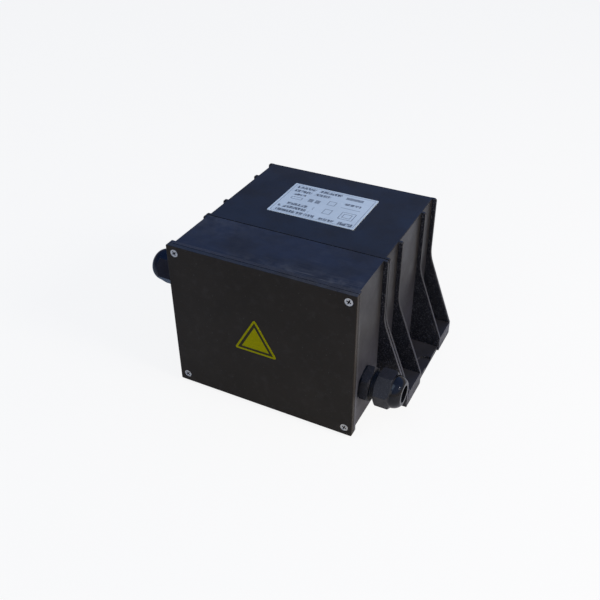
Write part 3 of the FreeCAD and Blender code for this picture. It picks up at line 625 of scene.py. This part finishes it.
@dataclass(frozen=True)
class PrintedPlate:
    """The pale plate on the top: a line inside its edge, rows of dashes, bars and plain frames.

    Lengths are in metres. Rows, bars and frames hold the place of their middle and half their
    size, as shares of the plate's half length and half width.
    """

    name: str
    centre: Vector
    half_length: float
    half_width: float
    base: Colour = (0.575, 0.62, 0.60)
    tones: Clouds = Clouds(45.0, 3.0, span=(0.35, 0.65))
    ink: Colour = (0.035, 0.042, 0.060)
    worn: Clouds = Clouds(500.0, 3.0, 0.7, (0.35, 0.6))
    ink_shares: Range = (0.65, 0.95)
    bar_share: float = 0.75
    blur: float = 0.06 * MM
    line_inset: float = 1.9 * MM
    line_width: float = 0.45 * MM
    frame_width: float = 0.5 * MM
    strokes: Clouds = Clouds(760.0, 1.0, span=(0.42, 0.52))
    stroke_least: float = 0.25
    groups: Clouds = Clouds(170.0, 0.0, span=(0.36, 0.42))
    dash_height: float = 0.25
    brushed: Clouds = Clouds(500.0, stretch=(0.08, 1.0, 1.0))
    brush_bump: Range = (0.01 * MM, 0.3)
    roughness: Range = (0.36, 0.48)
    rows: tuple[Spot, ...] = (
        (-0.34, 0.79, 0.54, 0.075), (-0.43, 0.54, 0.43, 0.075), (-0.66, 0.30, 0.14, 0.060),
        (-0.51, -0.33, 0.39, 0.075), (-0.52, -0.56, 0.37, 0.075), (-0.41, -0.80, 0.45, 0.075),
        (0.32, -0.82, 0.18, 0.065), (0.75, -0.82, 0.16, 0.085), (0.57, 0.35, 0.20, 0.065),
    )
    bars: tuple[Spot, ...] = (
        (0.52, 0.72, 0.20, 0.075), (-0.33, 0.10, 0.055, 0.10), (-0.17, 0.10, 0.055, 0.10),
        (0.60, 0.10, 0.22, 0.012),
    )
    frames: tuple[Spot, ...] = (
        (0.66, -0.35, 0.16, 0.22), (0.66, -0.35, 0.095, 0.12), (0.14, 0.20, 0.09, 0.13),
        (0.20, -0.34, 0.09, 0.15), (-0.66, 0.06, 0.13, 0.075),
    )
    whole: Spot = (0.0, 0.0, 1.0, 1.0)

    def _within(self, graph: ShaderGraph, value: Feed, middle: float, half: float) -> Socket:
        """1 where a value lies within half of middle, with a soft edge."""
        off = graph.math("ABSOLUTE", graph.math("SUBTRACT", value, middle))
        return graph.spread(off, half - self.blur, half + self.blur, 1.0, 0.0)

    def _patch(self, graph: ShaderGraph, place: Place, spot: Spot, inset: float = 0.0) -> Socket:
        """1 inside a rectangle given in shares of the plate."""
        length, width = self.half_length, self.half_width
        across = self._within(graph, place[0], spot[0] * length, spot[2] * length - inset)
        along = self._within(graph, place[1], spot[1] * width, spot[3] * width - inset)
        return graph.product(across, along)

    def _outline(self, graph: ShaderGraph, place: Place, spot: Spot, line: float,
                 inset: float = 0.0) -> Socket:
        """1 on the line of a rectangle."""
        outside = self._patch(graph, place, spot, inset)
        return graph.math("SUBTRACT", outside, self._patch(graph, place, spot, inset + line), clamp=True)

    def _dashes(self, graph: ShaderGraph, place: Place) -> Socket:
        """Short uneven strokes along X, in groups with gaps between them."""
        flat = graph.product(place[1], self.dash_height)
        spot = graph.add("ShaderNodeCombineXYZ", X=place[0], Y=flat).outputs[0]
        strokes = graph.clouds(self.strokes, self.stroke_least, 1.0, spot)
        return graph.product(strokes, graph.clouds(self.groups, place=spot))

    def _marks(self, graph: ShaderGraph) -> Socket:
        """The share of ink: rows, bars, frames and the line inside the edge."""
        x, y, _ = graph.axes()
        place = (graph.math("SUBTRACT", x, self.centre.x), graph.math("SUBTRACT", y, self.centre.y))
        rows: Feed = 0.0
        for spot in self.rows:
            rows = graph.math("MAXIMUM", rows, self._patch(graph, place, spot))
        marks = graph.product(rows, self._dashes(graph, place))
        for spot in self.bars:
            bar = graph.product(self._patch(graph, place, spot), self.bar_share)
            marks = graph.math("MAXIMUM", marks, bar)
        for spot in self.frames:
            marks = graph.math("MAXIMUM", marks, self._outline(graph, place, spot, self.frame_width))
        edge = self._outline(graph, place, self.whole, self.line_width, self.line_inset)
        return graph.math("MAXIMUM", marks, graph.product(edge, self.bar_share))

    def material(self) -> Material:
        """Builds the finish."""
        graph = ShaderGraph(self.name)
        ink = graph.product(self._marks(graph), graph.clouds(self.worn, *self.ink_shares))
        base = graph.blend(graph.clouds(self.tones), self.base, scaled(self.base, 1.08))
        base = graph.blend(ink, base, self.ink)
        brushed = graph.noise(self.brushed)
        roughness = graph.spread(brushed, *self.brushed.span, *self.roughness)
        normal = graph.bump(brushed, *self.brush_bump)
        return graph.surface(base, roughness, normal, Metallic=0.15, Specular_IOR_Level=0.4)


@dataclass(frozen=True)
class DecalFilm:
    """Yellow printed film with a dark band inside its three edges. Lengths are in metres."""

    name: str
    centre: Vector
    side: float
    base: Colour = (0.27, 0.25, 0.0)
    band: Colour = (0.016, 0.014, 0.014)
    band_share: float = 0.93
    border: float = 1.65 * MM
    band_width: float = 2.2 * MM
    blur: float = 0.05 * MM
    wear: Clouds = Clouds(700.0, 3.0, 0.6)
    wear_range: Range = (0.4, 0.7)
    wear_bump: Range = (0.01 * MM, 0.3)
    roughness: Range = (0.28, 0.42)
    specular: float = 0.03

    def _band(self, graph: ShaderGraph) -> Socket:
        """1 on the band, which keeps its distance from the nearest edge."""
        x, _, z = graph.axes()
        distance: Feed = 1.0
        for corner in range(3):
            angle = math.radians(270 + 120 * corner)
            across = graph.product(graph.math("SUBTRACT", x, self.centre.x), math.cos(angle))
            up = graph.product(graph.math("SUBTRACT", z, self.centre.z), math.sin(angle))
            inside = graph.math("SUBTRACT", self.side / math.sqrt(12), graph.math("ADD", across, up))
            distance = graph.math("MINIMUM", distance, inside)
        half = self.band_width / 2
        off = graph.math("ABSOLUTE", graph.math("SUBTRACT", distance, self.border + half))
        return graph.spread(off, half - self.blur, half + self.blur, 1.0, 0.0)

    def material(self) -> Material:
        """Builds the finish."""
        graph = ShaderGraph(self.name)
        wear = graph.noise(self.wear)
        base = graph.blend(graph.spread(wear, *self.wear_range), self.base, scaled(self.base, 0.82))
        base = graph.blend(graph.product(self._band(graph), self.band_share), base, self.band)
        roughness = graph.spread(wear, *self.wear.span, *self.roughness)
        normal = graph.bump(wear, *self.wear_bump)
        return graph.surface(base, roughness, normal, Specular_IOR_Level=self.specular)


def turned(x: float = 0.0, y: float = 0.0, z: float = 0.0) -> Matrix:
    """A turn about the axes, in radians."""
    return Euler((x, y, z)).to_matrix().to_4x4()


def dress(node: str, material: Material) -> None:
    """Gives a CAD node its finish in all of its material slots."""
    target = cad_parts[node]
    if not target.material_slots:
        target.data.materials.append(material)
    for slot in target.material_slots:
        slot.material = material
    LOG.info("dressed %s with %s", node, material.name)


def settle(piece: bpy.types.Object, slot: Slot, *nodes: str) -> None:
    """Lets a piece ride on the part's body and hides the CAD nodes it replaces."""
    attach(piece, ROOT)
    if nodes:
        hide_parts(*nodes)
    LOG.info("built %s with %d faces", piece.name, len(piece.data.polygons))


@dataclass
class Casing:
    """The potted case, the terminal box with its rim, and the gaskets between the shells."""

    case_finish: Material
    box_finish: Material
    seal_finish: Material

    def build(self) -> None:
        """Finishes the shells and gaskets."""
        dress("main_case", self.case_finish)
        dress("terminal_box", self.box_finish)
        for node in ("seam_gasket", "cover_gasket"):
            dress(node, self.seal_finish)


@dataclass
class FrontCover:
    """The screwed cover with its decal and four countersunk screws.

    Lengths are in metres. The recess narrows to recess_taper of its size and stands past the
    head's face by the share recess_past. The thread's ridge takes thread_width of its pitch.
    """

    cover_finish: Material
    screw_finish: Material
    head_radius: float = 3.25 * MM
    shank_radius: float = 1.75 * MM
    recess_length: float = 4.5 * MM
    recess_width: float = 1.15 * MM
    recess_depth: float = 1.9 * MM
    recess_taper: float = 0.45
    recess_past: float = 0.2
    thread_depth: float = 0.2 * MM
    thread_pitch: float = 1.3 * MM
    thread_width: float = 0.6
    turn_range: Range = (0.35, 1.15)
    seed: int = 7
    film_side: float = 37.9 * MM
    film_corner: float = 1.3 * MM

    def _head(self, graph: GeometryGraph) -> Socket:
        """A countersunk head, its face at zero height, with a tapered cross recess."""
        source = graph.inputs
        depth = graph.math("SUBTRACT", source["Head Radius"], source["Shank Radius"])
        head = graph.add("GeometryNodeMeshCone", Vertices=48, Radius_Top=source["Shank Radius"],
                         Radius_Bottom=source["Head Radius"], Depth=depth)
        half = graph.product(source["Recess Length"], 1 / math.sqrt(2))
        slim = graph.math("DIVIDE", source["Recess Width"], source["Recess Length"])
        blades = []
        for quarter in (0.0, math.pi / 2):
            frustum = graph.add("GeometryNodeMeshCone", Vertices=4, Radius_Bottom=half,
                                Radius_Top=graph.product(half, self.recess_taper),
                                Depth=graph.product(source["Recess Depth"], 1 + self.recess_past))
            lift = graph.vector(z=graph.product(source["Recess Depth"], -self.recess_past))
            square = graph.moved(frustum.outputs[0], lift, (0.0, 0.0, math.pi / 4))
            thin = graph.add("GeometryNodeTransform", Geometry=square, Scale=graph.vector(1.0, slim, 1.0))
            blades.append(graph.moved(thin.outputs[0], (0.0, 0.0, 0.0), (0.0, 0.0, quarter)))
        return graph.cut(head.outputs[0], *blades)

    def _shank(self, graph: GeometryGraph) -> Socket:
        """The shank with its thread's ridge."""
        source = graph.inputs
        start = graph.math("SUBTRACT", source["Head Radius"], source["Shank Radius"])
        length = graph.math("SUBTRACT", source["Length"], start)
        core = graph.add("GeometryNodeMeshCylinder", Vertices=24, Radius=source["Shank Radius"], Depth=length)
        middle = graph.math("ADD", start, graph.product(length, 0.5))
        reach = graph.math("SUBTRACT", length, graph.product(source["Thread Pitch"], 2.0))
        ridge = graph.ridge(source["Shank Radius"], reach, source["Thread Pitch"], self.thread_width,
                            source["Thread Depth"], steps=20)
        first = graph.math("ADD", start, source["Thread Pitch"])
        return graph.joined(graph.moved(core.outputs[0], graph.vector(z=middle)),
                            graph.moved(ridge, graph.vector(z=first)))

    def screws(self) -> None:
        """Four cross-recessed screws, each turned by its own angle."""
        low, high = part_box("cover_screws")
        graph = GeometryGraph("cover_screws", {
            "Span Across": high.x - low.x - 2 * self.head_radius,
            "Span Up": high.z - low.z - 2 * self.head_radius,
            "Length": high.y - low.y,
            "Head Radius": self.head_radius, "Shank Radius": self.shank_radius,
            "Recess Length": self.recess_length, "Recess Width": self.recess_width,
            "Recess Depth": self.recess_depth,
            "Thread Depth": self.thread_depth, "Thread Pitch": self.thread_pitch,
            "Seed": self.seed,
        })
        source = graph.inputs
        screw = graph.joined(self._head(graph), self._shank(graph))
        grid = graph.add("GeometryNodeMeshGrid", Size_X=source["Span Across"], Size_Y=source["Span Up"],
                         Vertices_X=2, Vertices_Y=2)
        angle = graph.add("FunctionNodeRandomValue", {"data_type": "FLOAT"}, Seed=source["Seed"])
        feed(angle, 2, self.turn_range[0])
        feed(angle, 3, self.turn_range[1])
        turns = graph.add("FunctionNodeAxisAngleToRotation", Axis=(0.0, 0.0, 1.0), Angle=angle.outputs[1])
        copies = graph.add("GeometryNodeInstanceOnPoints", Points=grid.outputs[0], Instance=screw,
                           Rotation=turns.outputs[0])
        graph.finish(copies.outputs[0], self.screw_finish)
        middle = Vector(((low.x + high.x) / 2, low.y, (low.z + high.z) / 2))
        place = Matrix.Translation(middle) @ turned(x=-math.pi / 2)
        settle(graph.bake("cover_screws_fine", place), Slot.ZINC, "cover_screws")

    def film(self) -> None:
        """The triangular film with rounded corners, its base at the height of the CAD film's."""
        low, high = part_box("cover_decal")
        centre = Vector(((low.x + high.x) / 2, high.y, low.z + self.film_side / math.sqrt(12)))
        graph = GeometryGraph("decal_film", {
            "Reach": self.film_side / math.sqrt(3), "Corner Radius": self.film_corner,
            "Thickness": high.y - low.y,
        })
        source = graph.inputs
        triangle = graph.add("GeometryNodeMeshCircle", {"fill_type": "NONE"}, Vertices=3,
                             Radius=source["Reach"])
        outline = graph.add("GeometryNodeMeshToCurve", Mesh=triangle.outputs[0])
        rounded = graph.add("GeometryNodeFilletCurve", {"mode": "POLY"}, Curve=outline.outputs[0], Count=8,
                            Radius=source["Corner Radius"])
        rod = graph.add("GeometryNodeCurvePrimitiveLine", End=graph.vector(z=source["Thickness"]))
        sheet = graph.add("GeometryNodeCurveToMesh", Curve=rod.outputs[0], Profile_Curve=rounded.outputs[0],
                          Fill_Caps=True)
        graph.finish(sheet.outputs[0], DecalFilm("yellow_film", centre, self.film_side).material())
        place = Matrix.Translation(centre) @ turned(x=math.pi / 2) @ turned(z=math.pi / 2)
        settle(graph.bake("cover_decal_film", place), Slot.DECAL, "cover_decal")

    def build(self) -> None:
        """Builds and finishes the cover."""
        dress("front_cover", self.cover_finish)
        self.film()
        self.screws()


@dataclass
class CableGland:
    """One cable gland: flanged body, seal, dome nut, washer and locknut, with its outer thread.

    Lengths are in metres. The thread's ridge takes thread_width of its pitch.
    """

    side: Side
    body_finish: Material
    seal_finish: Material
    flange_thickness: float = 7.1 * MM
    neck_radius: float = 10.55 * MM
    thread_pitch: float = 1.5 * MM
    thread_depth: float = 0.7 * MM
    thread_width: float = 0.84

    def dress(self) -> None:
        """Finishes the gland's own pieces."""
        name = self.side.name.lower()
        for piece in ("gland_body", "gland_nut", "gland_locknut"):
            dress(name + "_" + piece, self.body_finish)
        for piece in ("gland_seal", "gland_washer"):
            dress(name + "_" + piece, self.seal_finish)

    def thread(self) -> None:
        """The thread that shows on the neck between flange and nut."""
        name = self.side.name.lower()
        washer_low, washer_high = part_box(name + "_gland_washer")
        nut_low, nut_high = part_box(name + "_gland_nut")
        if self.side is Side.RIGHT:
            start, stop = washer_high.x + self.flange_thickness, nut_low.x
        else:
            start, stop = washer_low.x - self.flange_thickness, nut_high.x
        graph = GeometryGraph(name + "_gland_thread", {
            "Root Radius": self.neck_radius, "Depth": self.thread_depth,
            "Pitch": self.thread_pitch, "Height": abs(stop - start),
        })
        source = graph.inputs
        ridge = graph.ridge(source["Root Radius"], source["Height"], source["Pitch"], self.thread_width,
                            source["Depth"], steps=48)
        graph.finish(ridge, self.body_finish)
        centre = (washer_low + washer_high) / 2
        place = Matrix.Translation((start, centre.y, centre.z)) @ turned(y=math.pi / 2 * self.side.value)
        settle(graph.bake(name + "_gland_thread", place), Slot.GLAND)

    def build(self) -> None:
        """Builds and finishes the gland."""
        self.dress()
        self.thread()


@dataclass
class TopPlate:
    """The pale plate on the case."""

    def build(self) -> None:
        """Finishes the plate."""
        low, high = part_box("top_plate")
        finish = PrintedPlate("pale_plate", (low + high) / 2, (high.x - low.x) / 2, (high.y - low.y) / 2)
        dress("top_plate", finish.material())


@dataclass
class InnerWorks:
    """The coil, core, resin, terminal blocks and leads inside the shells."""

    screw_finish: Material

    def build(self) -> None:
        """Finishes every inner piece."""
        copper = WoundCoil("enamelled_wire", (0.62, 0.28, 0.12), 0.9 * MM).material()
        terminal = GlossyPlastic("terminal_plastic", (0.62, 0.63, 0.61), 0.35, 0.4).material()
        brass = PlatedMetal("brass", (0.75, 0.58, 0.28), 0.28).material()
        lead = GlossyPlastic("lead_sheath", (0.025, 0.025, 0.026), 0.38, 0.45).material()
        finishes = {
            "laminated_core": Laminations("laminations", (0.30, 0.31, 0.33), 0.5 * MM).material(),
            "bobbin": GlossyPlastic("bobbin_plastic", (0.72, 0.69, 0.60), 0.4, 0.4).material(),
            "primary_winding": copper,
            "secondary_winding": copper,
            "winding_tape": GlossyPlastic("coil_tape", (0.72, 0.56, 0.10), 0.25, 0.45).material(),
            "thermal_cutout": GlossyPlastic("cutout_case", (0.42, 0.08, 0.05), 0.3, 0.45).material(),
            "potting_resin": CastResin("potting_resin", (0.05, 0.042, 0.038)).material(),
        }
        for kind in ("primary", "secondary"):
            finishes[kind + "_terminal_block"] = terminal
            finishes[kind + "_terminal_clamps"] = brass
            finishes[kind + "_terminal_screws"] = self.screw_finish
            finishes[kind + "_leads"] = lead
        for node in ("core_bolts", "box_screws", "terminal_block_screws"):
            finishes[node] = self.screw_finish
        for node, material in finishes.items():
            dress(node, material)


@dataclass(frozen=True)
class SoftBox:
    """One rectangular studio lamp aimed at the part."""

    name: str
    place: Point
    size: Range
    watts: float
    colour: Colour
    mirrored: bool = True

    def build(self, target: Vector) -> None:
        """Hangs the lamp facing a point. Glossy surfaces mirror it only if mirrored is set."""
        data = bpy.data.lights.new(self.name, "AREA")
        data.shape = "RECTANGLE"
        data.size, data.size_y = self.size
        data.energy = self.watts
        data.color = self.colour
        lamp = bpy.data.objects.new(self.name, data)
        lamp.location = self.place
        lamp.rotation_euler = (target - Vector(self.place)).to_track_quat("-Z", "Y").to_euler()
        lamp.visible_glossy = self.mirrored
        bpy.context.scene.collection.objects.link(lamp)


@dataclass
class Studio:
    """Floor, sky, lamps and the camera at the photograph's angle.

    Lengths are in metres and angles in radians. The eye is measured from the middle of the cover's
    front. The sky turns from the horizon's colour to the zenith's over rise_range of its direction's
    Z, and from dim to full strength over shade_range of its X.
    """

    azimuth: float = math.radians(27.129)
    elevation: float = math.radians(34.939)
    roll: float = math.radians(-0.426)
    focal_pixels: float = 748.603
    frame_pixels: float = 600.0
    sensor: float = 36.0
    eye: Point = (0.237202, -0.393498, 0.359785)
    floor_radius: float = 9.0
    floor_colour: Colour = (0.74, 0.69, 0.60)
    floor_tones: Clouds = Clouds(3.0)
    floor_glow: float = 0.88
    zenith: Colour = (0.13, 0.28, 0.70)
    horizon: Colour = (0.54, 0.46, 0.37)
    rise_range: Range = (0.15, 0.50)
    shade: float = 0.35
    shade_range: Range = (-0.8, 0.1)
    backdrop: Colour = (0.94, 0.94, 0.95)
    lamps: tuple[SoftBox, ...] = (
        SoftBox("key_right", (1.35, -0.15, 0.90), (0.42, 0.36), 14.5, (1.0, 0.92, 0.82), False),
        SoftBox("low_right", (1.45, 0.10, 0.30), (0.9, 0.5), 13.0, (1.0, 0.95, 0.90), False),
        SoftBox("top_front", (-0.25, -0.75, 1.55), (1.0, 1.0), 6.5, (0.66, 0.82, 1.0)),
        SoftBox("front_fill", (-0.5, -1.5, 0.8), (0.9, 0.9), 3.0, (1.0, 0.95, 0.88)),
        SoftBox("glint", (1.25, -0.05, 1.00), (0.12, 0.12), 1.6, (1.0, 1.0, 1.0)),
    )

    def camera(self) -> None:
        """Stands the camera where the photograph was taken."""
        low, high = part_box("front_cover")
        eye = Vector(self.eye) + Vector((0.0, low.y, (low.z + high.z) / 2))
        level = math.cos(self.elevation)
        back = Vector((math.sin(self.azimuth) * level, -math.cos(self.azimuth) * level,
                       math.sin(self.elevation)))
        stand = (-back).to_track_quat("-Z", "Y").to_matrix().to_4x4() @ Matrix.Rotation(self.roll, 4, "Z")
        data = bpy.data.cameras.new("camera")
        data.sensor_width = self.sensor
        data.lens = self.focal_pixels / self.frame_pixels * self.sensor
        data.clip_start = 0.01
        camera = bpy.data.objects.new("camera", data)
        camera.matrix_world = Matrix.Translation(eye) @ stand
        bpy.context.scene.collection.objects.link(camera)
        bpy.context.scene.camera = camera

    def floor(self) -> None:
        """A pale floor that keeps the part's soft shadow."""
        graph = GeometryGraph("studio_floor", {"Radius": self.floor_radius})
        disc = graph.add("GeometryNodeMeshCircle", {"fill_type": "NGON"}, Vertices=64,
                         Radius=graph.inputs["Radius"])
        shader = ShaderGraph("pale_floor")
        paler = scaled(self.floor_colour, 1.0, 0.02)
        base = shader.blend(shader.clouds(self.floor_tones), self.floor_colour, paler)
        diffuse = shader.add("ShaderNodeBsdfDiffuse", Color=base)
        glow = shader.add("ShaderNodeEmission", Color=(1.0, 1.0, 1.0), Strength=1.0)
        path = shader.add("ShaderNodeLightPath").outputs
        share = shader.product(path["Is Camera Ray"], self.floor_glow)
        mixed = shader.add("ShaderNodeMixShader", None, share, diffuse.outputs[0], glow.outputs[0])
        feed(shader.output, "Surface", mixed.outputs[0])
        graph.finish(disc.outputs[0], shader.material)
        floor = graph.bake("studio_floor", Matrix.Identity(4))

    def world(self) -> None:
        """A sky, blue overhead and dim to the left, that the camera sees as a white backdrop."""
        world = bpy.data.worlds.new("studio_sky")
        world.use_nodes = True
        graph = Graph(world.node_tree)
        direction = graph.add("ShaderNodeTexCoord").outputs["Object"]
        right, _, up = graph.add("ShaderNodeSeparateXYZ", Vector=direction).outputs
        colour = graph.blend(graph.spread(up, *self.rise_range), self.horizon, self.zenith)
        strength = graph.spread(right, *self.shade_range, self.shade, 1.0)
        sky = graph.add("ShaderNodeBackground", Color=colour, Strength=strength)
        plain = graph.add("ShaderNodeBackground", Color=self.backdrop)
        camera = graph.add("ShaderNodeLightPath").outputs["Is Camera Ray"]
        seen = graph.add("ShaderNodeMixShader", None, camera, sky.outputs[0], plain.outputs[0])
        feed(graph.tree.nodes["World Output"], "Surface", seen.outputs[0])
        bpy.context.scene.world = world

    def build(self) -> None:
        """Sets up the whole studio."""
        self.camera()
        self.floor()
        self.world()
        target = Vector((0.0, 0.0, (cad_box[0][2] + cad_box[1][2]) / 2))
        for lamp in self.lamps:
            lamp.build(target)
        bpy.context.scene.view_settings.view_transform = "Standard"
        LOG.info("studio stands")


def box_mouldings() -> tuple[Material, Material]:
    """The finishes of the case and of the terminal box, whose rim carries fine lines."""
    rim_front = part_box("terminal_box")[0].y
    # The case's front faces take painted shade and painted glints.
    case = MouldedPlastic("case_moulding", (0.0112, 0.0100, 0.0096), (0.0136, 0.0120, 0.0106),
                          specular=0.24, front_glints=0.55)
    # The box's tops take a stronger painted sky reflection, and its side walls a lighter painted reflection
    # low down.
    box = replace(case, name="box_moulding", film=(0.0175, 0.0225, 0.038), dust_and_low_sheen=(0.046, 0.046, 0.056),
                  scuffs=0.6, scuff_start=rim_front + RIM_DEPTH,
                  line_start=rim_front + 0.5 * MM, line_count=3)
    return case.material(), box.material()


def cover_moulding() -> Material:
    """The finish of the cover, browner and duller than the case."""
    cover_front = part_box("front_cover")[0].y
    # Its faces that look up take a fainter painted sky reflection, and its sides have no painted reflection
    # low down.
    cover = MouldedPlastic("cover_moulding", (0.0152, 0.0118, 0.0082), (0.0182, 0.0142, 0.0102),
                           roughness=0.48, gloss_change=0.06, specular=0.13, low_sheen_share=0.0,
                           film=(0.010, 0.018, 0.033), scuffs=0.2, scuff_start=cover_front + 0.3 * MM,
                           line_start=cover_front + 0.8 * MM, line_count=3)
    return cover.material()


def main() -> None:
    """Builds each sub-assembly in order."""
    logging.basicConfig(level=logging.INFO, format="%(name)s: %(message)s")
    case, box = box_mouldings()
    cover = cover_moulding()
    dome_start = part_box("right_gland_nut")[1].x - DOME_LENGTH
    head_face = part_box("cover_screws")[0].y
    gland = GlossyPlastic("gland_polyamide", (0.0045, 0.0045, 0.0052), 0.12, 0.30, gloss_from=dome_start)
    # The left gland is the same part as the right, given its own darker, bluer, all-glossy copy of the
    # finish: painted shade for its side away from the key lamp.
    shaded_left_gland = GlossyPlastic("left_gland_painted_shade", (0.0060, 0.0075, 0.0150), 0.26, 0.22)
    rubber = Rubber("black_rubber", (0.012, 0.012, 0.012)).material()
    zinc = PlatedMetal("zinc_plating", (0.50, 0.49, 0.47), 0.34)
    # The cover screws' recesses are painted dark as shade from just behind the head's face.
    cover_zinc = PlatedMetal("cover_screw_zinc", (0.60, 0.60, 0.59), 0.36, shade_from=head_face + SHADE_START_DEPTH)
    Studio().build()
    Casing(case, box, rubber).build()
    FrontCover(cover, cover_zinc.material()).build()
    for side, finish in ((Side.RIGHT, gland), (Side.LEFT, shaded_left_gland)):
        CableGland(side, finish.material(), rubber).build()
    TopPlate().build()
    InnerWorks(zinc.material()).build()


if __name__ == "__main__":
    main()
